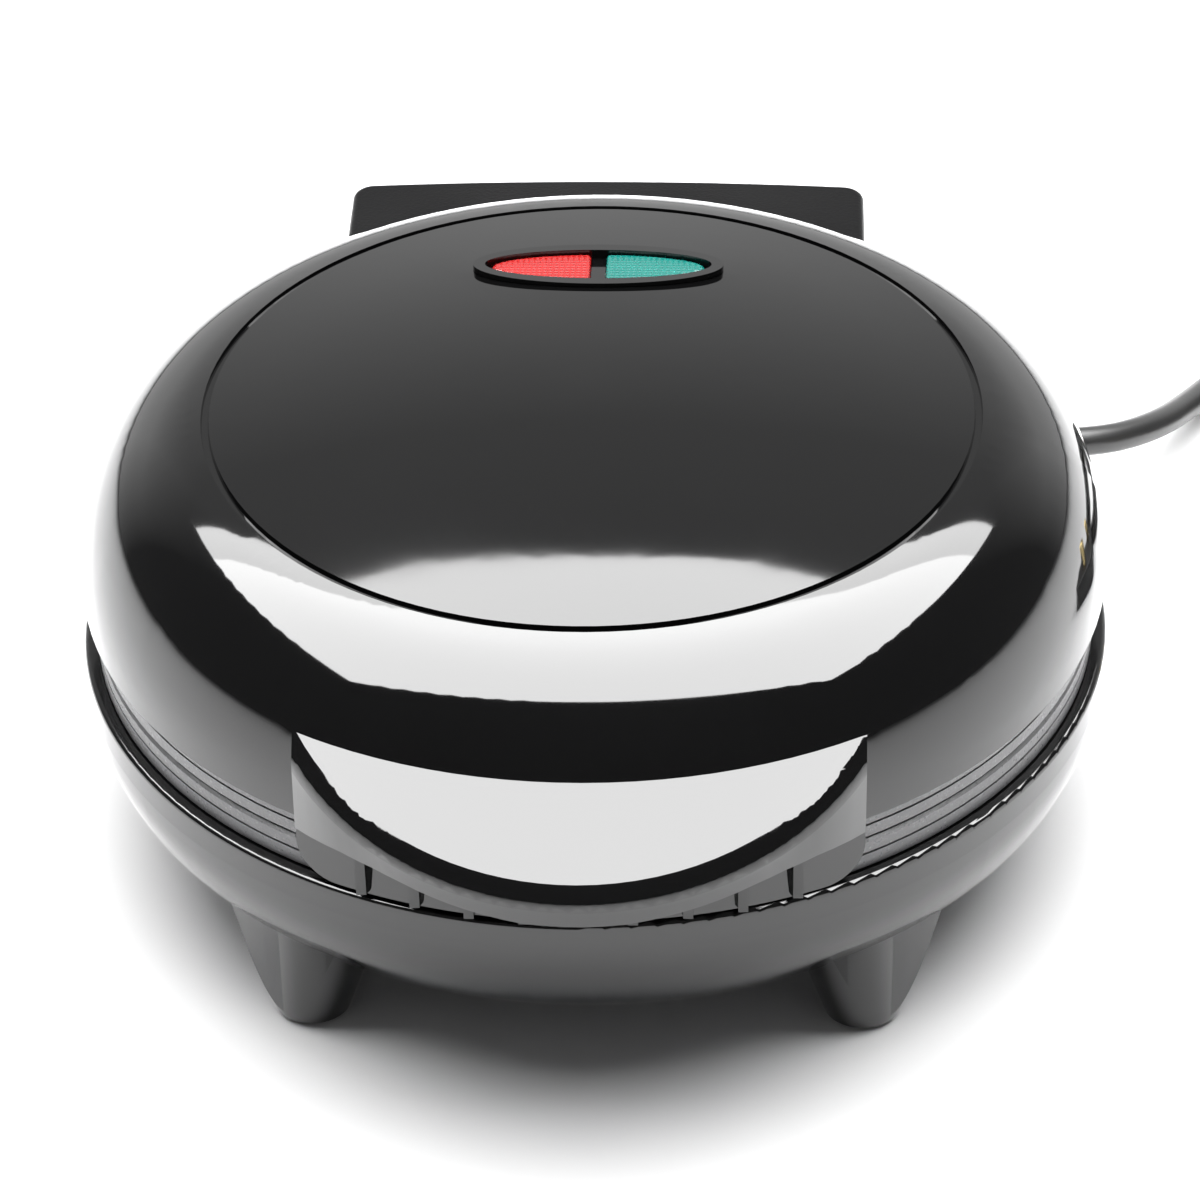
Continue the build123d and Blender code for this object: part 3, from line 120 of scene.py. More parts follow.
@dataclass(frozen=True)
class Finish:
    """A procedural material for one kind of surface.

    Args:
        name: Name of the material.
        dark: The darker of its two base colours.
        light: The lighter of its two base colours.
        rough_low: Roughness where the surface is smoothest.
        rough_high: Roughness where the surface is roughest.
        relief: Its bump.
        metallic: 1 for bare metal.
        transmission: 1 for clear plastic or glass.
        ior: Index of refraction.
        coat: Weight of a clear coat.
        sheen: Weight of sheen, for braid.
        specular: Level of the plain reflection.
    """

    name: str
    dark: tuple[float, float, float]
    light: tuple[float, float, float]
    rough_low: float
    rough_high: float
    relief: Relief
    metallic: float = 0.0
    transmission: float = 0.0
    ior: float = 1.5
    coat: float = 0.0
    sheen: float = 0.0
    specular: float = 0.5

    def build(self) -> bpy.types.Material:
        """Makes the node material.

        Returns:
            The finished material.
        """
        material = bpy.data.materials.new(self.name)
        material.use_nodes = True
        nodes, links = material.node_tree.nodes, material.node_tree.links
        shader = nodes["Principled BSDF"]
        shader.inputs["Metallic"].default_value = self.metallic
        shader.inputs["IOR"].default_value = self.ior
        shader.inputs["Transmission Weight"].default_value = self.transmission
        shader.inputs["Coat Weight"].default_value = self.coat
        shader.inputs["Coat Roughness"].default_value = COAT_ROUGHNESS
        shader.inputs["Sheen Weight"].default_value = self.sheen
        shader.inputs["Specular IOR Level"].default_value = self.specular

        place = nodes.new("ShaderNodeTexCoord")
        cloud = nodes.new("ShaderNodeTexNoise")
        cloud.inputs["Scale"].default_value = CLOUD_SCALE
        cloud.inputs["Detail"].default_value = CLOUD_DETAIL
        links.new(place.outputs["Object"], cloud.inputs["Vector"])

        colour = nodes.new("ShaderNodeMix")
        colour.data_type = "RGBA"
        colour.inputs["A"].default_value = (*self.dark, 1.0)
        colour.inputs["B"].default_value = (*self.light, 1.0)
        links.new(cloud.outputs["Fac"], colour.inputs["Factor"])
        tint = colour.outputs["Result"]

        rough = nodes.new("ShaderNodeMapRange")
        rough.inputs["From Min"].default_value = CLOUD_SPAN[0]
        rough.inputs["From Max"].default_value = CLOUD_SPAN[1]
        rough.inputs["To Min"].default_value = self.rough_low
        rough.inputs["To Max"].default_value = self.rough_high
        links.new(cloud.outputs["Fac"], rough.inputs["Value"])
        gloss = rough.outputs["Result"]

        height = self._height(nodes, links, place)
        if self.relief.grain is Grain.COATED:
            tint, gloss = self._sparkle(nodes, links, place, tint)
        links.new(tint, shader.inputs["Base Color"])
        links.new(gloss, shader.inputs["Roughness"])
        bump = nodes.new("ShaderNodeBump")
        bump.inputs["Strength"].default_value = self.relief.strength
        bump.inputs["Distance"].default_value = self.relief.depth
        links.new(height, bump.inputs["Height"])
        links.new(bump.outputs["Normal"], shader.inputs["Normal"])
        return material

    def _height(
        self, nodes: bpy.types.Nodes, links: bpy.types.NodeLinks, place: bpy.types.Node,
    ) -> bpy.types.NodeSocket:
        """Makes the texture that drives the bump.

        Args:
            nodes: The material's nodes.
            links: The material's links.
            place: Its texture coordinate node.

        Returns:
            The output socket with the height.
        """
        grain = self.relief.grain
        if grain is Grain.PRISMATIC:
            across = nodes.new("ShaderNodeTexWave")
            along = nodes.new("ShaderNodeTexWave")
            for wave, axis in ((across, "X"), (along, "Y")):
                wave.bands_direction = axis
                wave.wave_profile = "TRI"
                wave.inputs["Scale"].default_value = self.relief.scale
                links.new(place.outputs["Object"], wave.inputs["Vector"])
            grid = nodes.new("ShaderNodeMath")
            grid.operation = "MULTIPLY"
            links.new(across.outputs["Fac"], grid.inputs[0])
            links.new(along.outputs["Fac"], grid.inputs[1])
            return grid.outputs["Value"]
        if grain is Grain.BRAID:
            weave = nodes.new("ShaderNodeTexChecker")
            weave.inputs["Scale"].default_value = self.relief.scale
            links.new(place.outputs["Object"], weave.inputs["Vector"])
            return weave.outputs["Fac"]
        texture = nodes.new("ShaderNodeTexNoise")
        texture.inputs["Scale"].default_value = self.relief.scale
        texture.inputs["Detail"].default_value = (
            PEEL_DETAIL if grain is Grain.ORANGE_PEEL else GRAIN_DETAIL
        )
        if grain in (Grain.DRAWN, Grain.SHEET):
            stretch = nodes.new("ShaderNodeMapping")
            stretch.inputs["Scale"].default_value = DRAWN_STRETCH
            links.new(place.outputs["Object"], stretch.inputs["Vector"])
            links.new(stretch.outputs["Vector"], texture.inputs["Vector"])
        else:
            links.new(place.outputs["Object"], texture.inputs["Vector"])
        return texture.outputs["Fac"]

    def _sparkle(
        self, nodes: bpy.types.Nodes, links: bpy.types.NodeLinks, place: bpy.types.Node,
        tint: bpy.types.NodeSocket,
    ) -> tuple[bpy.types.NodeSocket, bpy.types.NodeSocket]:
        """Adds the fine bright flecks of a non-stick coating.

        Args:
            nodes: The material's nodes.
            links: The material's links.
            place: Its texture coordinate node.
            tint: The socket with the base colour so far.

        Returns:
            The sockets with the colour and the roughness, flecks included.
        """
        cells = nodes.new("ShaderNodeTexVoronoi")
        cells.inputs["Scale"].default_value = FLECK_SCALE
        links.new(place.outputs["Object"], cells.inputs["Vector"])
        split = nodes.new("ShaderNodeSeparateColor")
        links.new(cells.outputs["Color"], split.inputs["Color"])
        chosen = nodes.new("ShaderNodeMapRange")
        chosen.inputs["From Min"].default_value = FLECK_START
        chosen.inputs["From Max"].default_value = 1.0
        links.new(split.outputs["Red"], chosen.inputs["Value"])
        fleck = nodes.new("ShaderNodeMix")
        fleck.data_type = "RGBA"
        fleck.inputs["B"].default_value = FLECK_COLOUR
        links.new(chosen.outputs["Result"], fleck.inputs["Factor"])
        links.new(tint, fleck.inputs["A"])
        shine = nodes.new("ShaderNodeMapRange")
        shine.inputs["To Min"].default_value = self.rough_high
        shine.inputs["To Max"].default_value = FLECK_ROUGHNESS
        links.new(chosen.outputs["Result"], shine.inputs["Value"])
        return fleck.outputs["Result"], shine.outputs["Result"]


PEEL = Relief(Grain.ORANGE_PEEL, 130.0, 0.0004, 0.018)
ERODED = Relief(Grain.SPARK_ERODED, 1400.0, 0.0002, 0.35)
FINE = Relief(Grain.SPARK_ERODED, 900.0, 0.0001, 0.18)

LID_GLOSS = Finish("gloss_lid", (0.0012, 0.0012, 0.0013), (0.002, 0.002, 0.0021), 0.035, 0.06, PEEL)
BASE_GLOSS = Finish("gloss_base", (0.002, 0.002, 0.0021), (0.003, 0.003, 0.0032), 0.08, 0.14, PEEL)
MATTE_BLACK = Finish(
    "matte_block", (0.004, 0.004, 0.0042), (0.007, 0.007, 0.0073), 0.36, 0.46, ERODED, specular=0.3,
)
COVER_BLACK = Finish(
    "matte_cover", (0.0015, 0.0015, 0.0016), (0.003, 0.003, 0.0032), 0.3, 0.4, ERODED, specular=0.06,
)
# Feet of the bowl: a matte finish whose low specular level is painted shade, dark as if the feet
# reflected the shadow under the bowl.
FEET_MATTE_AND_SHADE = Finish(
    "matte_feet_painted_shade", (0.002, 0.002, 0.0021), (0.004, 0.004, 0.0042), 0.3, 0.4, ERODED, specular=0.12,
)
RIM_BLACK = Finish("soft_rim", (0.002, 0.002, 0.0021), (0.003, 0.003, 0.0032), 0.24, 0.3, PEEL)
BEZEL = Finish("gloss_bezel", (0.0015, 0.0015, 0.0016), (0.003, 0.003, 0.0031), 0.06, 0.1, PEEL)
NON_STICK = Finish(
    "non_stick", (0.03, 0.03, 0.032), (0.05, 0.05, 0.053), 0.34, 0.44,
    Relief(Grain.COATED, 1100.0, 0.0003, 0.5), specular=0.9,
)
ELEMENT = Finish(
    "element_tube", (0.16, 0.13, 0.11), (0.32, 0.29, 0.26), 0.3, 0.5,
    Relief(Grain.DRAWN, 160.0, 0.0001, 0.2), metallic=1.0,
)
SHIELD = Finish(
    "shield_sheet", (0.62, 0.62, 0.63), (0.75, 0.75, 0.76), 0.2, 0.36,
    Relief(Grain.SHEET, 60.0, 0.0001, 0.15), metallic=1.0,
)
ZINC = Finish(
    "zinc_plate", (0.45, 0.45, 0.44), (0.62, 0.62, 0.6), 0.26, 0.4,
    Relief(Grain.DRAWN, 300.0, 0.00005, 0.2), metallic=1.0,
)
CAP = Finish(
    "pressed_cap", (0.5, 0.5, 0.5), (0.66, 0.66, 0.66), 0.3, 0.42, FINE, metallic=1.0,
)
PAD = Finish("pad_rubber", (0.012, 0.012, 0.012), (0.022, 0.022, 0.022), 0.75, 0.9, ERODED)
RED = Finish(
    "red_lens", (0.3, 0.006, 0.006), (0.42, 0.014, 0.012), 0.12, 0.2,
    Relief(Grain.PRISMATIC, 260.0, 0.0003, 0.35), transmission=0.4, ior=1.49, specular=0.3,
)
GREEN = Finish(
    "green_lens", (0.002, 0.13, 0.11), (0.005, 0.2, 0.17), 0.12, 0.2,
    Relief(Grain.PRISMATIC, 260.0, 0.0003, 0.35), transmission=0.4, ior=1.49, specular=0.3,
)
LAMP = Finish(
    "lamp_glass", (0.9, 0.86, 0.8), (0.97, 0.94, 0.9), 0.03, 0.06,
    Relief(Grain.PLAIN, 100.0, 0.0001, 0.05), transmission=1.0, ior=1.45,
)
NATURAL = Finish("natural_nylon", (0.66, 0.65, 0.6), (0.76, 0.75, 0.71), 0.4, 0.55, FINE)
SHEATH = Finish(
    "cord_sheath", (0.008, 0.008, 0.008), (0.014, 0.014, 0.014), 0.3, 0.42, FINE,
)
PLUG = Finish("plug_plastic", (0.01, 0.01, 0.01), (0.018, 0.018, 0.018), 0.32, 0.45, ERODED)
BRASS = Finish(
    "pin_brass", (0.62, 0.48, 0.22), (0.76, 0.62, 0.34), 0.18, 0.3,
    Relief(Grain.DRAWN, 400.0, 0.00004, 0.15), metallic=1.0,
)
SLEEVE = Finish(
    "wire_sleeve", (0.55, 0.54, 0.5), (0.72, 0.71, 0.66), 0.75, 0.9,
    Relief(Grain.BRAID, 1600.0, 0.0001, 0.5), sheen=0.3,
)


@dataclass
class Assembly:
    """CAD nodes that share a body, each with the finish that it gets.

    Args:
        body: The body that the pieces ride on.
        finishes: Finish of each CAD node by name.
    """

    body: Body
    finishes: dict[str, Finish] = field(default_factory=dict)

    def dress(self, frame: dict, made: dict[str, bpy.types.Material]) -> None:
        """Gives each node its material.

        Args:
            made: Materials made so far by name, added to here.
        """
        for name, finish in self.finishes.items():
            if finish.name not in made:
                made[finish.name] = finish.build()
            node = frame["nodes"][name]
            node.data.materials.clear()
            node.data.materials.append(made[finish.name])
            LOG.info("%s has finish %s", name, finish.name)


@dataclass
class LidAssembly(Assembly):
    """The domed lid with its handle, plate, hinge cover and indicator."""

    body: Body = Body.LID
    finishes: dict[str, Finish] = field(
        default_factory=lambda: {
            "hinge_cover": COVER_BLACK,
            "cover_screws": ZINC,
            "upper_plate": NON_STICK,
            "upper_element": ELEMENT,
            "upper_heat_shield": SHIELD,
            "lid_screws": ZINC,
            "indicator_frame": BEZEL,
            "red_lens": RED,
            "green_lens": GREEN,
            "lamp_holder": NATURAL,
            "indicator_lamps": LAMP,
            "lid_wiring": SLEEVE,
        }
    )


@dataclass
class BaseAssembly(Assembly):
    """The bowl with its feet, plate, heating parts and rear housing."""

    body: Body = Body.BASE
    finishes: dict[str, Finish] = field(
        default_factory=lambda: {
            "foot_pads": PAD,
            "lower_plate": NON_STICK,
            "lower_element": ELEMENT,
            "lower_heat_shield": SHIELD,
            "thermostat": CAP,
            "thermal_fuse": CAP,
            "fuse_clip": ZINC,
            "base_screws": ZINC,
            "rear_housing": MATTE_BLACK,
            "housing_screws": ZINC,
            "hinge_pins": ZINC,
            "terminal_block": NATURAL,
            "inner_cord": SHEATH,
            "base_wiring": SLEEVE,
            "cord_gland": SHEATH,
            "plug_body": PLUG,
            "plug_pins": BRASS,
        }
    )


@dataclass
class Moulding:
    """A merged copy of a CAD moulding that stands for it and keeps its exact shading normals.

    Args:
        source: Name of the CAD node.
        body: The body that it rides on.
        finishes: Its finishes, the main one first.
        slot: Name of its material slot; it is not used.
        merge_gap: Corners that lie closer than this are joined, in millimetres.
    """

    source: str
    body: Body
    finishes: tuple[Finish, ...]
    slot: str
    merge_gap: float = 0.005

    def shape(self, mesh: bmesh.types.BMesh) -> None:
        """Changes the form of the copy, which a plain moulding leaves as it is.

        Args:
            mesh: The merged copy.
        """

    def lean(self, face: bpy.types.MeshPolygon, place: Vector, normal: Vector) -> Vector:
        """Gives the shading normal at one corner of a face.

        Args:
            face: The face.
            place: The corner in millimetres.
            normal: The CAD surface's normal there.

        Returns:
            The normal that the copy gets there.
        """
        return normal

    def build(self, frame: dict) -> bpy.types.Object:
        """Makes the piece and lets it stand for its CAD node.


        Returns:
            The piece's object.
        """
        source = frame["nodes"][self.source].data
        mesh = source.copy()
        mesh.name = f"{self.source}_moulding"
        kept = mesh.attributes.new(KEPT_NORMAL, "FLOAT_VECTOR", "CORNER")
        for corner, exact in zip(kept.data, source.corner_normals):
            corner.vector = exact.vector
        copy = bmesh.new()
        copy.from_mesh(mesh)
        bmesh.ops.remove_doubles(copy, verts=copy.verts, dist=self.merge_gap * MM)
        self.shape(copy)
        copy.to_mesh(mesh)
        copy.free()
        normals = [Vector(corner.vector) for corner in mesh.attributes[KEPT_NORMAL].data]
        mesh.attributes.remove(mesh.attributes[KEPT_NORMAL])
        for face in mesh.polygons:
            face.use_smooth = True
            for corner in face.loop_indices:
                place = mesh.vertices[mesh.loops[corner].vertex_index].co / MM
                normals[corner] = self.lean(face, place, normals[corner])
        mesh.normals_split_custom_set(normals)
        mesh.materials.clear()
        for finish in self.finishes:
            mesh.materials.append(finish.build())
        piece = bpy.data.objects.new(mesh.name, mesh)
        bpy.context.scene.collection.objects.link(piece)
        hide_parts(self.source)
        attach(piece, self.body.value)
        return piece


@dataclass
class HandleMoulding(Moulding):
    """The lid shell with the draft of the handle's outer wall.

    Args:
        edge_level: Height of the handle's lower edge in millimetres.
        bow_centre: Centre of the handle's front bow along Y, in millimetres.
        skirt_reach: Radius just outside the skirt that hangs behind the edge, in millimetres.
        draft_angle: Draft of the wall in degrees.
        plain_end: Distance from the middle past which the wall's shading is upright, in millimetres.
        fade: Width of the change from upright to leaned shading, in millimetres.
        bow_depth: Least distance along Y between the wall and the bow's centre, in millimetres.
        square_on: Least share of a wall's normal that points along the bow's radius.
        slack: Height difference and distance that count as none, in millimetres.
        draft: How far the edge is drawn in at each distance from the middle, in millimetres.
    """

    edge_level: float = 60.6
    bow_centre: float = -58.7
    skirt_reach: float = 109.6
    draft_angle: float = 19.0
    plain_end: float = 46.0
    fade: float = 8.0
    bow_depth: float = 20.0
    square_on: float = 0.99
    slack: float = 0.05
    draft: tuple[tuple[float, float], ...] = (
        (0.0, 0.4), (10.0, 0.6), (21.0, 1.9), (31.0, 3.1), (38.0, 3.9),
        (44.0, 3.9), (50.0, 2.9), (54.0, 1.3), (57.0, 0.0),
    )

    def _on_edge(self, place: Vector) -> bool:
        """Says whether a point is on the handle's lower edge.

        Args:
            place: The point in millimetres.

        Returns:
            True on the edge.
        """
        level = place.y < self.bow_centre and abs(place.z - self.edge_level) < self.slack
        return level and math.hypot(place.x, place.y) > self.skirt_reach

    def _outward(self, place: Vector) -> Vector:
        """Gives the level direction out of the bow.

        Args:
            place: A point in millimetres.

        Returns:
            A unit vector.
        """
        return Vector((place.x, place.y - self.bow_centre, 0.0)).normalized()

    def _drawn_in(self, along: float) -> float:
        """Reads the draft at one distance from the middle.

        Args:
            along: Distance from the middle in millimetres.

        Returns:
            How far the edge is drawn in, in millimetres.
        """
        for (near, low), (far, high) in zip(self.draft, self.draft[1:]):
            if along <= far:
                return low + (high - low) * (along - near) / (far - near)
        return self.draft[-1][1]

    def shape(self, mesh: bmesh.types.BMesh) -> None:
        """Draws the handle's lower edge in towards the lid.

        Args:
            mesh: The merged copy.
        """
        for vertex in mesh.verts:
            place = vertex.co / MM
            if self._on_edge(place):
                room = math.hypot(place.x, place.y) - self.skirt_reach
                vertex.co -= self._outward(place) * min(self._drawn_in(abs(place.x)), room) * MM

    def lean(self, face: bpy.types.MeshPolygon, place: Vector, normal: Vector) -> Vector:
        """Leans the normals of the drafted wall.

        Args:
            face: The face.
            place: The corner in millimetres.
            normal: The CAD surface's normal there.

        Returns:
            The normal that the copy gets there.
        """
        on_skirt = math.hypot(place.x, place.y) < self.skirt_reach - self.slack
        facing = normal.dot(self._outward(place))
        if on_skirt or abs(facing) < self.square_on or place.y > self.bow_centre - self.bow_depth:
            return normal
        share = max(0.0, min(1.0, (self.plain_end - abs(place.x)) / self.fade))
        angle = math.radians(self.draft_angle) * share
        outwards = math.copysign(1.0, facing)
        return normal * math.cos(angle) - Vector((0.0, 0.0, math.sin(angle))) * outwards


@dataclass
class BowlMoulding(Moulding):
    """The base shell, whose feet and rim have finishes of their own; the feet's finish darkens them with
    painted shade.

    Args:
        foot_place: Distance of a foot's axis from the middle along X and Y, in millimetres.
        foot_tip: Radius of a foot at the table in millimetres.
        foot_draft: Draft of a foot in degrees.
        foot_top: Height where a foot ends in the bowl, in millimetres.
        foot_front: Radius of the feet's flush front in millimetres.
        foot_slack: How far a foot's face may lie outside its cone, in millimetres.
        front_slack: How far it may lie in front of the flush front, in millimetres.
        foot_facing: Least share of a foot's outer face that points away from the foot's axis.
        foot_turning: Least share of a normal that points away from it where the normal is changed.
        rim_level: Height above which the rim's finish starts, in millimetres.
        rim_centre: Radius and height of the centre of the rim's rounding, in millimetres.
        rim_slack: How far from that centre the arc's shading starts, in millimetres.
    """

    foot_place: tuple[float, float] = (57.4, 76.0)
    foot_tip: float = 8.0
    foot_draft: float = 19.0
    foot_top: float = 30.0
    foot_front: float = 104.2
    foot_slack: float = 0.4
    front_slack: float = 0.3
    foot_facing: float = 0.45
    foot_turning: float = 0.05
    rim_level: float = 46.95
    rim_centre: tuple[float, float] = (108.9, 47.1)
    rim_slack: tuple[float, float] = (0.02, 0.05)

    def _from_foot(self, place: Vector) -> Vector:
        """Gives the level vector from the nearest foot's axis.

        Args:
            place: A point in millimetres.

        Returns:
            The vector in millimetres.
        """
        foot_x = math.copysign(self.foot_place[0], place.x)
        foot_y = math.copysign(self.foot_place[1], place.y)
        return Vector((place.x - foot_x, place.y - foot_y, 0.0))

    def _cone_normal(self, place: Vector) -> Vector:
        """Gives the normal of a foot's cone on the side of a point.

        Args:
            place: The point in millimetres.

        Returns:
            A unit vector.
        """
        angle = math.radians(self.foot_draft)
        normal = self._from_foot(place).normalized() * math.cos(angle)
        normal.z = -math.sin(angle)
        return normal

    def shape(self, mesh: bmesh.types.BMesh) -> None:
        """Gives the feet's and the rim's faces their finishes; the feet's one darkens them with painted
        shade.

        Args:
            mesh: The merged copy.
        """
        slope = math.tan(math.radians(self.foot_draft))
        for face in mesh.faces:
            place = face.calc_center_median() / MM
            away = self._from_foot(place).length - self.foot_tip - slope * place.z
            reach = math.hypot(place.x, place.y)
            inside = away < self.foot_slack and reach < self.foot_front + self.front_slack
            outer = face.normal.dot(self._cone_normal(place)) > self.foot_facing
            if place.z < self.foot_top and inside and outer:
                face.material_index = FOOT_SLOT
            elif place.z > self.rim_level:
                face.material_index = RIM_SLOT

    def lean(self, face: bpy.types.MeshPolygon, place: Vector, normal: Vector) -> Vector:
        """Shades a foot's flush front as part of its cone, and the rim's rounding as a true arc.

        Args:
            face: The face.
            place: The corner in millimetres.
            normal: The CAD surface's normal there.

        Returns:
            The normal that the copy gets there.
        """
        reach = math.hypot(place.x, place.y)
        centre_reach, centre_height = self.rim_centre
        slack_out, slack_down = self.rim_slack
        if place.z > centre_height - slack_down and reach > centre_reach + slack_out:
            out = (reach - centre_reach) / reach
            up = max(place.z - centre_height, 0.0)
            return Vector((place.x * out, place.y * out, up)).normalized()
        if face.material_index != FOOT_SLOT:
            return normal
        cone_normal = self._cone_normal(place)
        return cone_normal if normal.dot(cone_normal) > self.foot_turning else normal


@dataclass
class MainsCord:
    """The mains cord as one smooth curve: the free lead, then the coil put away out of view.

    Args:
        radius: Radius of the sheath in millimetres.
        heading: Direction on the table in which the lead enters the coil, in degrees.
        start: Where the coil starts, in millimetres.
        route: The lead's points before the coil, in millimetres.
        coil_radii: Radius of each half turn in millimetres.
        climb: Rise of the half turn between the two layers, in millimetres.
        stub: Straight run before the first half turn, in millimetres.
        tail: Straight run after the last half turn, in millimetres.
        last_run: Straight run of the lead before the coil, in millimetres.
        run_share: Share of that run that is left at its second point.
        tail_share: Share of the tail at its first point.
        steps: Points for each half turn.
        length: The cord's length in metres; it is not used.
    """

    radius: float = 3.5
    heading: float = 62.0
    start: tuple[float, float] = (158.3, 180.5)
    route: tuple[tuple[float, float, float], ...] = (
        (85.0, 108.0, 20.5),
        (100.0, 108.0, 20.5),
        (117.0, 114.2, 17.0),
        (130.3, 128.0, 12.4),
        (139.5, 145.2, 7.4),
    )
    coil_radii: tuple[float, ...] = (44.0, 40.2, 36.4, 32.6, 36.4, 40.2, 44.0)
    climb: float = 7.5
    stub: float = 7.0
    tail: float = 33.0
    last_run: float = 20.0
    run_share: float = 0.3
    tail_share: float = 0.4
    steps: int = 8
    length: float = 1.014

    def points(self) -> list[Vector]:
        """Works out the curve's control points.

        Returns:
            Points in millimetres from the gland to the plug.
        """
        angle = math.radians(self.heading)
        travel = Vector((math.cos(angle), math.sin(angle), 0.0))
        across = Vector((math.sin(angle), -math.cos(angle), 0.0))
        begin = Vector((*self.start, self.radius))
        points = [Vector(point) for point in self.route]
        points += [begin - travel * self.last_run, begin - travel * self.last_run * self.run_share]
        place = begin + travel * self.stub
        half_step = math.pi / (2 * self.steps)
        level = self.radius
        highest = len(self.coil_radii) // 2
        for index, radius in enumerate(self.coil_radii):
            centre = place + across * radius
            centre.z = 0.0
            rise = self.climb if index == highest else 0.0
            for step in range(self.steps):
                share = (step + 0.5) / self.steps
                turn = math.pi * share
                spoke = across * -math.cos(turn) + travel * math.sin(turn)
                point = centre + spoke * (radius / math.cos(half_step))
                point.z = level + rise * share
                points.append(point)
            level += rise
            place = centre + across * radius
            place.z = level
            travel, across = -travel, -across
        points += [place + travel * self.tail * self.tail_share, place + travel * self.tail]
        return points

    def build(self, frame: dict) -> bpy.types.Object:
        """Returns:
            The cord's curve object.
        """
        points = self.points()
        curve = bpy.data.curves.new("mains_cord", "CURVE")
        curve.dimensions = "3D"
        curve.resolution_u = 6
        curve.bevel_depth = self.radius * MM
        curve.bevel_resolution = 5
        curve.use_fill_caps = True
        spline = curve.splines.new("NURBS")
        spline.points.add(len(points) - 1)
        for knot, point in zip(spline.points, points):
            knot.co = (*(point * MM), 1.0)
        spline.order_u = 3
        spline.use_endpoint_u = True
        cord = bpy.data.objects.new("mains_cord", curve)
        bpy.context.scene.collection.objects.link(cord)
        cord.data.materials.append(SHEATH.build())
        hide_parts("cord_lead", "cord_coil")
        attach(cord, Body.BASE.value)
        return cord


@dataclass
class SoftBox:
    """One studio light.

    Args:
        name: Name of the light.
        place: Its centre in metres.
        aim: The point that it faces, in metres.
        size: Width and length in metres.
        power: Watts.
        glossy: Whether reflections show it.
        diffuse: Whether it lights matte surfaces.
    """

    name: str
    place: tuple[float, float, float]
    aim: tuple[float, float, float]
    size: tuple[float, float]
    power: float
    glossy: bool = True
    diffuse: bool = True

    def build(self) -> bpy.types.Object:
        """Adds the light to the scene.

        Returns:
            The light's object.
        """
        lamp = bpy.data.lights.new(self.name, "AREA")
        lamp.shape = "RECTANGLE"
        lamp.size, lamp.size_y = self.size
        lamp.energy = self.power
        box = bpy.data.objects.new(self.name, lamp)
        box.location = self.place
        towards = Vector(self.aim) - Vector(self.place)
        box.rotation_euler = towards.to_track_quat("-Z", "Y").to_euler()
        box.visible_glossy = self.glossy
        box.visible_diffuse = self.diffuse
        box.visible_camera = False
        bpy.context.scene.collection.objects.link(box)
        return box


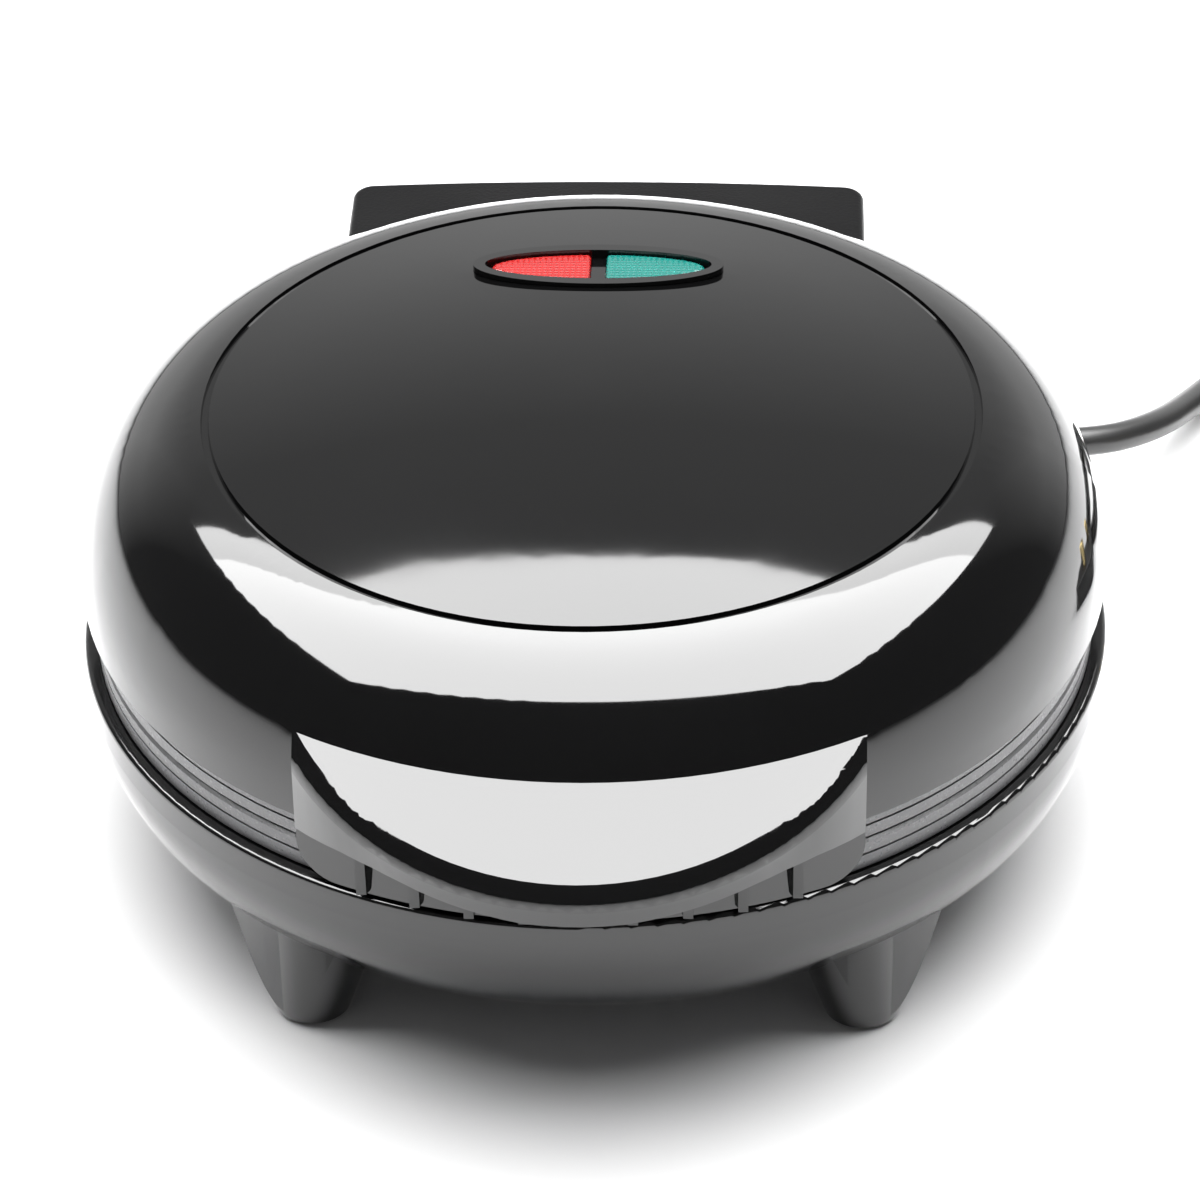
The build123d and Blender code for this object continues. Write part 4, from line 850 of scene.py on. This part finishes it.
@dataclass
class Studio:
    """Camera, floor, world and lights of the photograph's set.

    Args:
        target: The point that the camera faces, in metres.
        distance: Distance of the camera from it in metres.
        elevation: Height angle of the camera in degrees.
        azimuth: Turn of the camera to the right in degrees.
        roll: Roll of the camera in degrees.
        lens: Focal length in millimetres.
        sensor: Width of the sensor in millimetres.
        shift: Shift of the picture along its width and height.
        floor_size: Side of the floor in metres.
        floor_lit: Colour of the floor for all rays but the camera's.
        floor_seen: Colour of the floor that the camera sees.
        floor_roughness: Roughness of the floor.
        floor_specular: Level of its plain reflection.
        matte_glow: Brightness of the surroundings for matte light.
        front_glow: Brightness of the front where gloss reflects it.
        wall_heights: Heights between which the back wall's brightness changes.
        wall_glow: Brightness of the back wall at those heights.
        wall_edge: Depths between which the front turns into the back wall.
        side_weight: How fast the back wall draws back towards the sides.
        boxes: The lights.
    """

    target: tuple[float, float, float] = (0.0, 0.0, 0.053)
    distance: float = 1.1
    elevation: float = 34.94
    azimuth: float = 2.29
    roll: float = -0.99
    lens: float = 153.1
    sensor: float = 36.0
    shift: tuple[float, float] = (0.0045, -0.0086)
    floor_size: float = 9.0
    floor_lit: tuple[float, float, float, float] = (0.92, 0.92, 0.925, 1.0)
    floor_seen: tuple[float, float, float, float] = (0.57, 0.57, 0.573, 1.0)
    floor_roughness: float = 0.85
    floor_specular: float = 0.15
    matte_glow: float = 0.24
    front_glow: float = 0.14
    wall_heights: tuple[float, float] = (0.26, 0.58)
    wall_glow: tuple[float, float] = (1.25, 0.5)
    wall_edge: tuple[float, float] = (-0.1, 0.4)
    side_weight: float = 0.7
    boxes: tuple[SoftBox, ...] = (
        SoftBox("near_box", (0.03, 0.1, 1.3), (0.03, 0.1, 0.0), (2.4, 1.44), 200.0, diffuse=False),
        SoftBox("far_box", (0.03, 0.975, 1.3), (0.03, 0.975, 0.0), (2.4, 0.31), 28.0, diffuse=False),
        SoftBox("key_box", (0.0, 0.35, 1.32), (0.0, 0.35, 0.0), (2.4, 1.75), 112.0, glossy=False),
    )

    def place_camera(self) -> None:
        """Puts the camera where the photograph was taken from."""
        up_angle, turn, roll = (
            math.radians(value) for value in (self.elevation, self.azimuth, self.roll)
        )
        back = Vector((
            math.sin(turn) * math.cos(up_angle),
            -math.cos(turn) * math.cos(up_angle),
            math.sin(up_angle),
        ))
        right = Vector((math.cos(turn), math.sin(turn), 0.0))
        up = back.cross(right)
        right_rolled = right * math.cos(roll) + up * math.sin(roll)
        up_rolled = up * math.cos(roll) - right * math.sin(roll)
        camera = bpy.data.objects.new("camera", bpy.data.cameras.new("camera"))
        camera.data.lens = self.lens
        camera.data.sensor_width = self.sensor
        camera.data.shift_x, camera.data.shift_y = self.shift
        place = Vector(self.target) + back * self.distance
        turned = Matrix((right_rolled, up_rolled, back)).transposed().to_4x4()
        camera.matrix_world = Matrix.Translation(place) @ turned
        bpy.context.scene.collection.objects.link(camera)
        bpy.context.scene.camera = camera

    def lay_floor(self) -> None:
        """Lays the plain pale floor."""
        bpy.ops.mesh.primitive_plane_add(size=self.floor_size, location=(0.0, 0.0, 0.0))
        floor = bpy.context.object
        floor.name = "floor"
        material = bpy.data.materials.new("floor_paper")
        material.use_nodes = True
        nodes, links = material.node_tree.nodes, material.node_tree.links
        shader = nodes["Principled BSDF"]
        ray = nodes.new("ShaderNodeLightPath")
        paper = nodes.new("ShaderNodeMix")
        paper.data_type = "RGBA"
        paper.inputs["A"].default_value = self.floor_lit
        paper.inputs["B"].default_value = self.floor_seen
        links.new(ray.outputs["Is Camera Ray"], paper.inputs["Factor"])
        links.new(paper.outputs["Result"], shader.inputs["Base Color"])
        shader.inputs["Roughness"].default_value = self.floor_roughness
        shader.inputs["Specular IOR Level"].default_value = self.floor_specular
        floor.data.materials.append(material)

    def set_world(self) -> None:
        """Sets the surroundings: pale for matte light, darker where gloss reflects them."""
        world = bpy.data.worlds.new("studio")
        bpy.context.scene.world = world
        world.use_nodes = True
        nodes, links = world.node_tree.nodes, world.node_tree.links
        ground = nodes["Background"]
        ground.inputs["Strength"].default_value = 1.0
        ray = nodes.new("ShaderNodeLightPath")
        heading = nodes.new("ShaderNodeTexCoord")
        split = nodes.new("ShaderNodeSeparateXYZ")
        links.new(heading.outputs["Generated"], split.inputs["Vector"])
        wall = nodes.new("ShaderNodeMapRange")
        wall.inputs["From Min"].default_value, wall.inputs["From Max"].default_value = self.wall_heights
        wall.inputs["To Min"].default_value, wall.inputs["To Max"].default_value = self.wall_glow
        links.new(split.outputs["Z"], wall.inputs["Value"])
        sideways = nodes.new("ShaderNodeMath")
        sideways.operation = "ABSOLUTE"
        links.new(split.outputs["X"], sideways.inputs[0])
        depth = nodes.new("ShaderNodeMath")
        depth.operation = "MULTIPLY_ADD"
        depth.inputs[1].default_value = -self.side_weight
        links.new(sideways.outputs["Value"], depth.inputs[0])
        links.new(split.outputs["Y"], depth.inputs[2])
        behind = nodes.new("ShaderNodeMapRange")
        behind.inputs["From Min"].default_value, behind.inputs["From Max"].default_value = self.wall_edge
        links.new(depth.outputs["Value"], behind.inputs["Value"])
        seen = nodes.new("ShaderNodeMix")
        seen.inputs["A"].default_value = self.front_glow
        links.new(behind.outputs["Result"], seen.inputs["Factor"])
        links.new(wall.outputs["Result"], seen.inputs["B"])
        level = nodes.new("ShaderNodeMix")
        level.inputs["A"].default_value = self.matte_glow
        links.new(ray.outputs["Is Glossy Ray"], level.inputs["Factor"])
        links.new(seen.outputs["Result"], level.inputs["B"])
        links.new(level.outputs["Result"], ground.inputs["Color"])

    def build(self) -> None:
        """Builds the whole set."""
        self.place_camera()
        self.lay_floor()
        self.set_world()
        for box in self.boxes:
            box.build()
        scene = bpy.context.scene
        scene.view_settings.view_transform = "Standard"
        scene.view_settings.look = "None"


def clear_scene() -> None:
    """Removes the start-up scene's objects."""
    for thing in list(bpy.data.objects):
        bpy.data.objects.remove(thing)


def main() -> None:
    """Builds the scene."""
    logging.basicConfig(level=logging.INFO)
    clear_scene()
    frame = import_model()
    bpy.ops.object.select_all(action="DESELECT")
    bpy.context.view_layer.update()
    made: dict[str, bpy.types.Material] = {}
    for assembly in (LidAssembly(), BaseAssembly()):
        assembly.dress(frame, made)
    bowl_finishes = (BASE_GLOSS, FEET_MATTE_AND_SHADE, RIM_BLACK)
    for maker in (
        HandleMoulding("lid_shell", Body.LID, (LID_GLOSS,), "lid_gloss"),
        BowlMoulding("base_shell", Body.BASE, bowl_finishes, "base_gloss"),
        MainsCord(),
    ):
        piece = maker.build(frame)
        LOG.info("%s is built", piece.name)
    Studio().build()


if __name__ == "__main__":
    main()
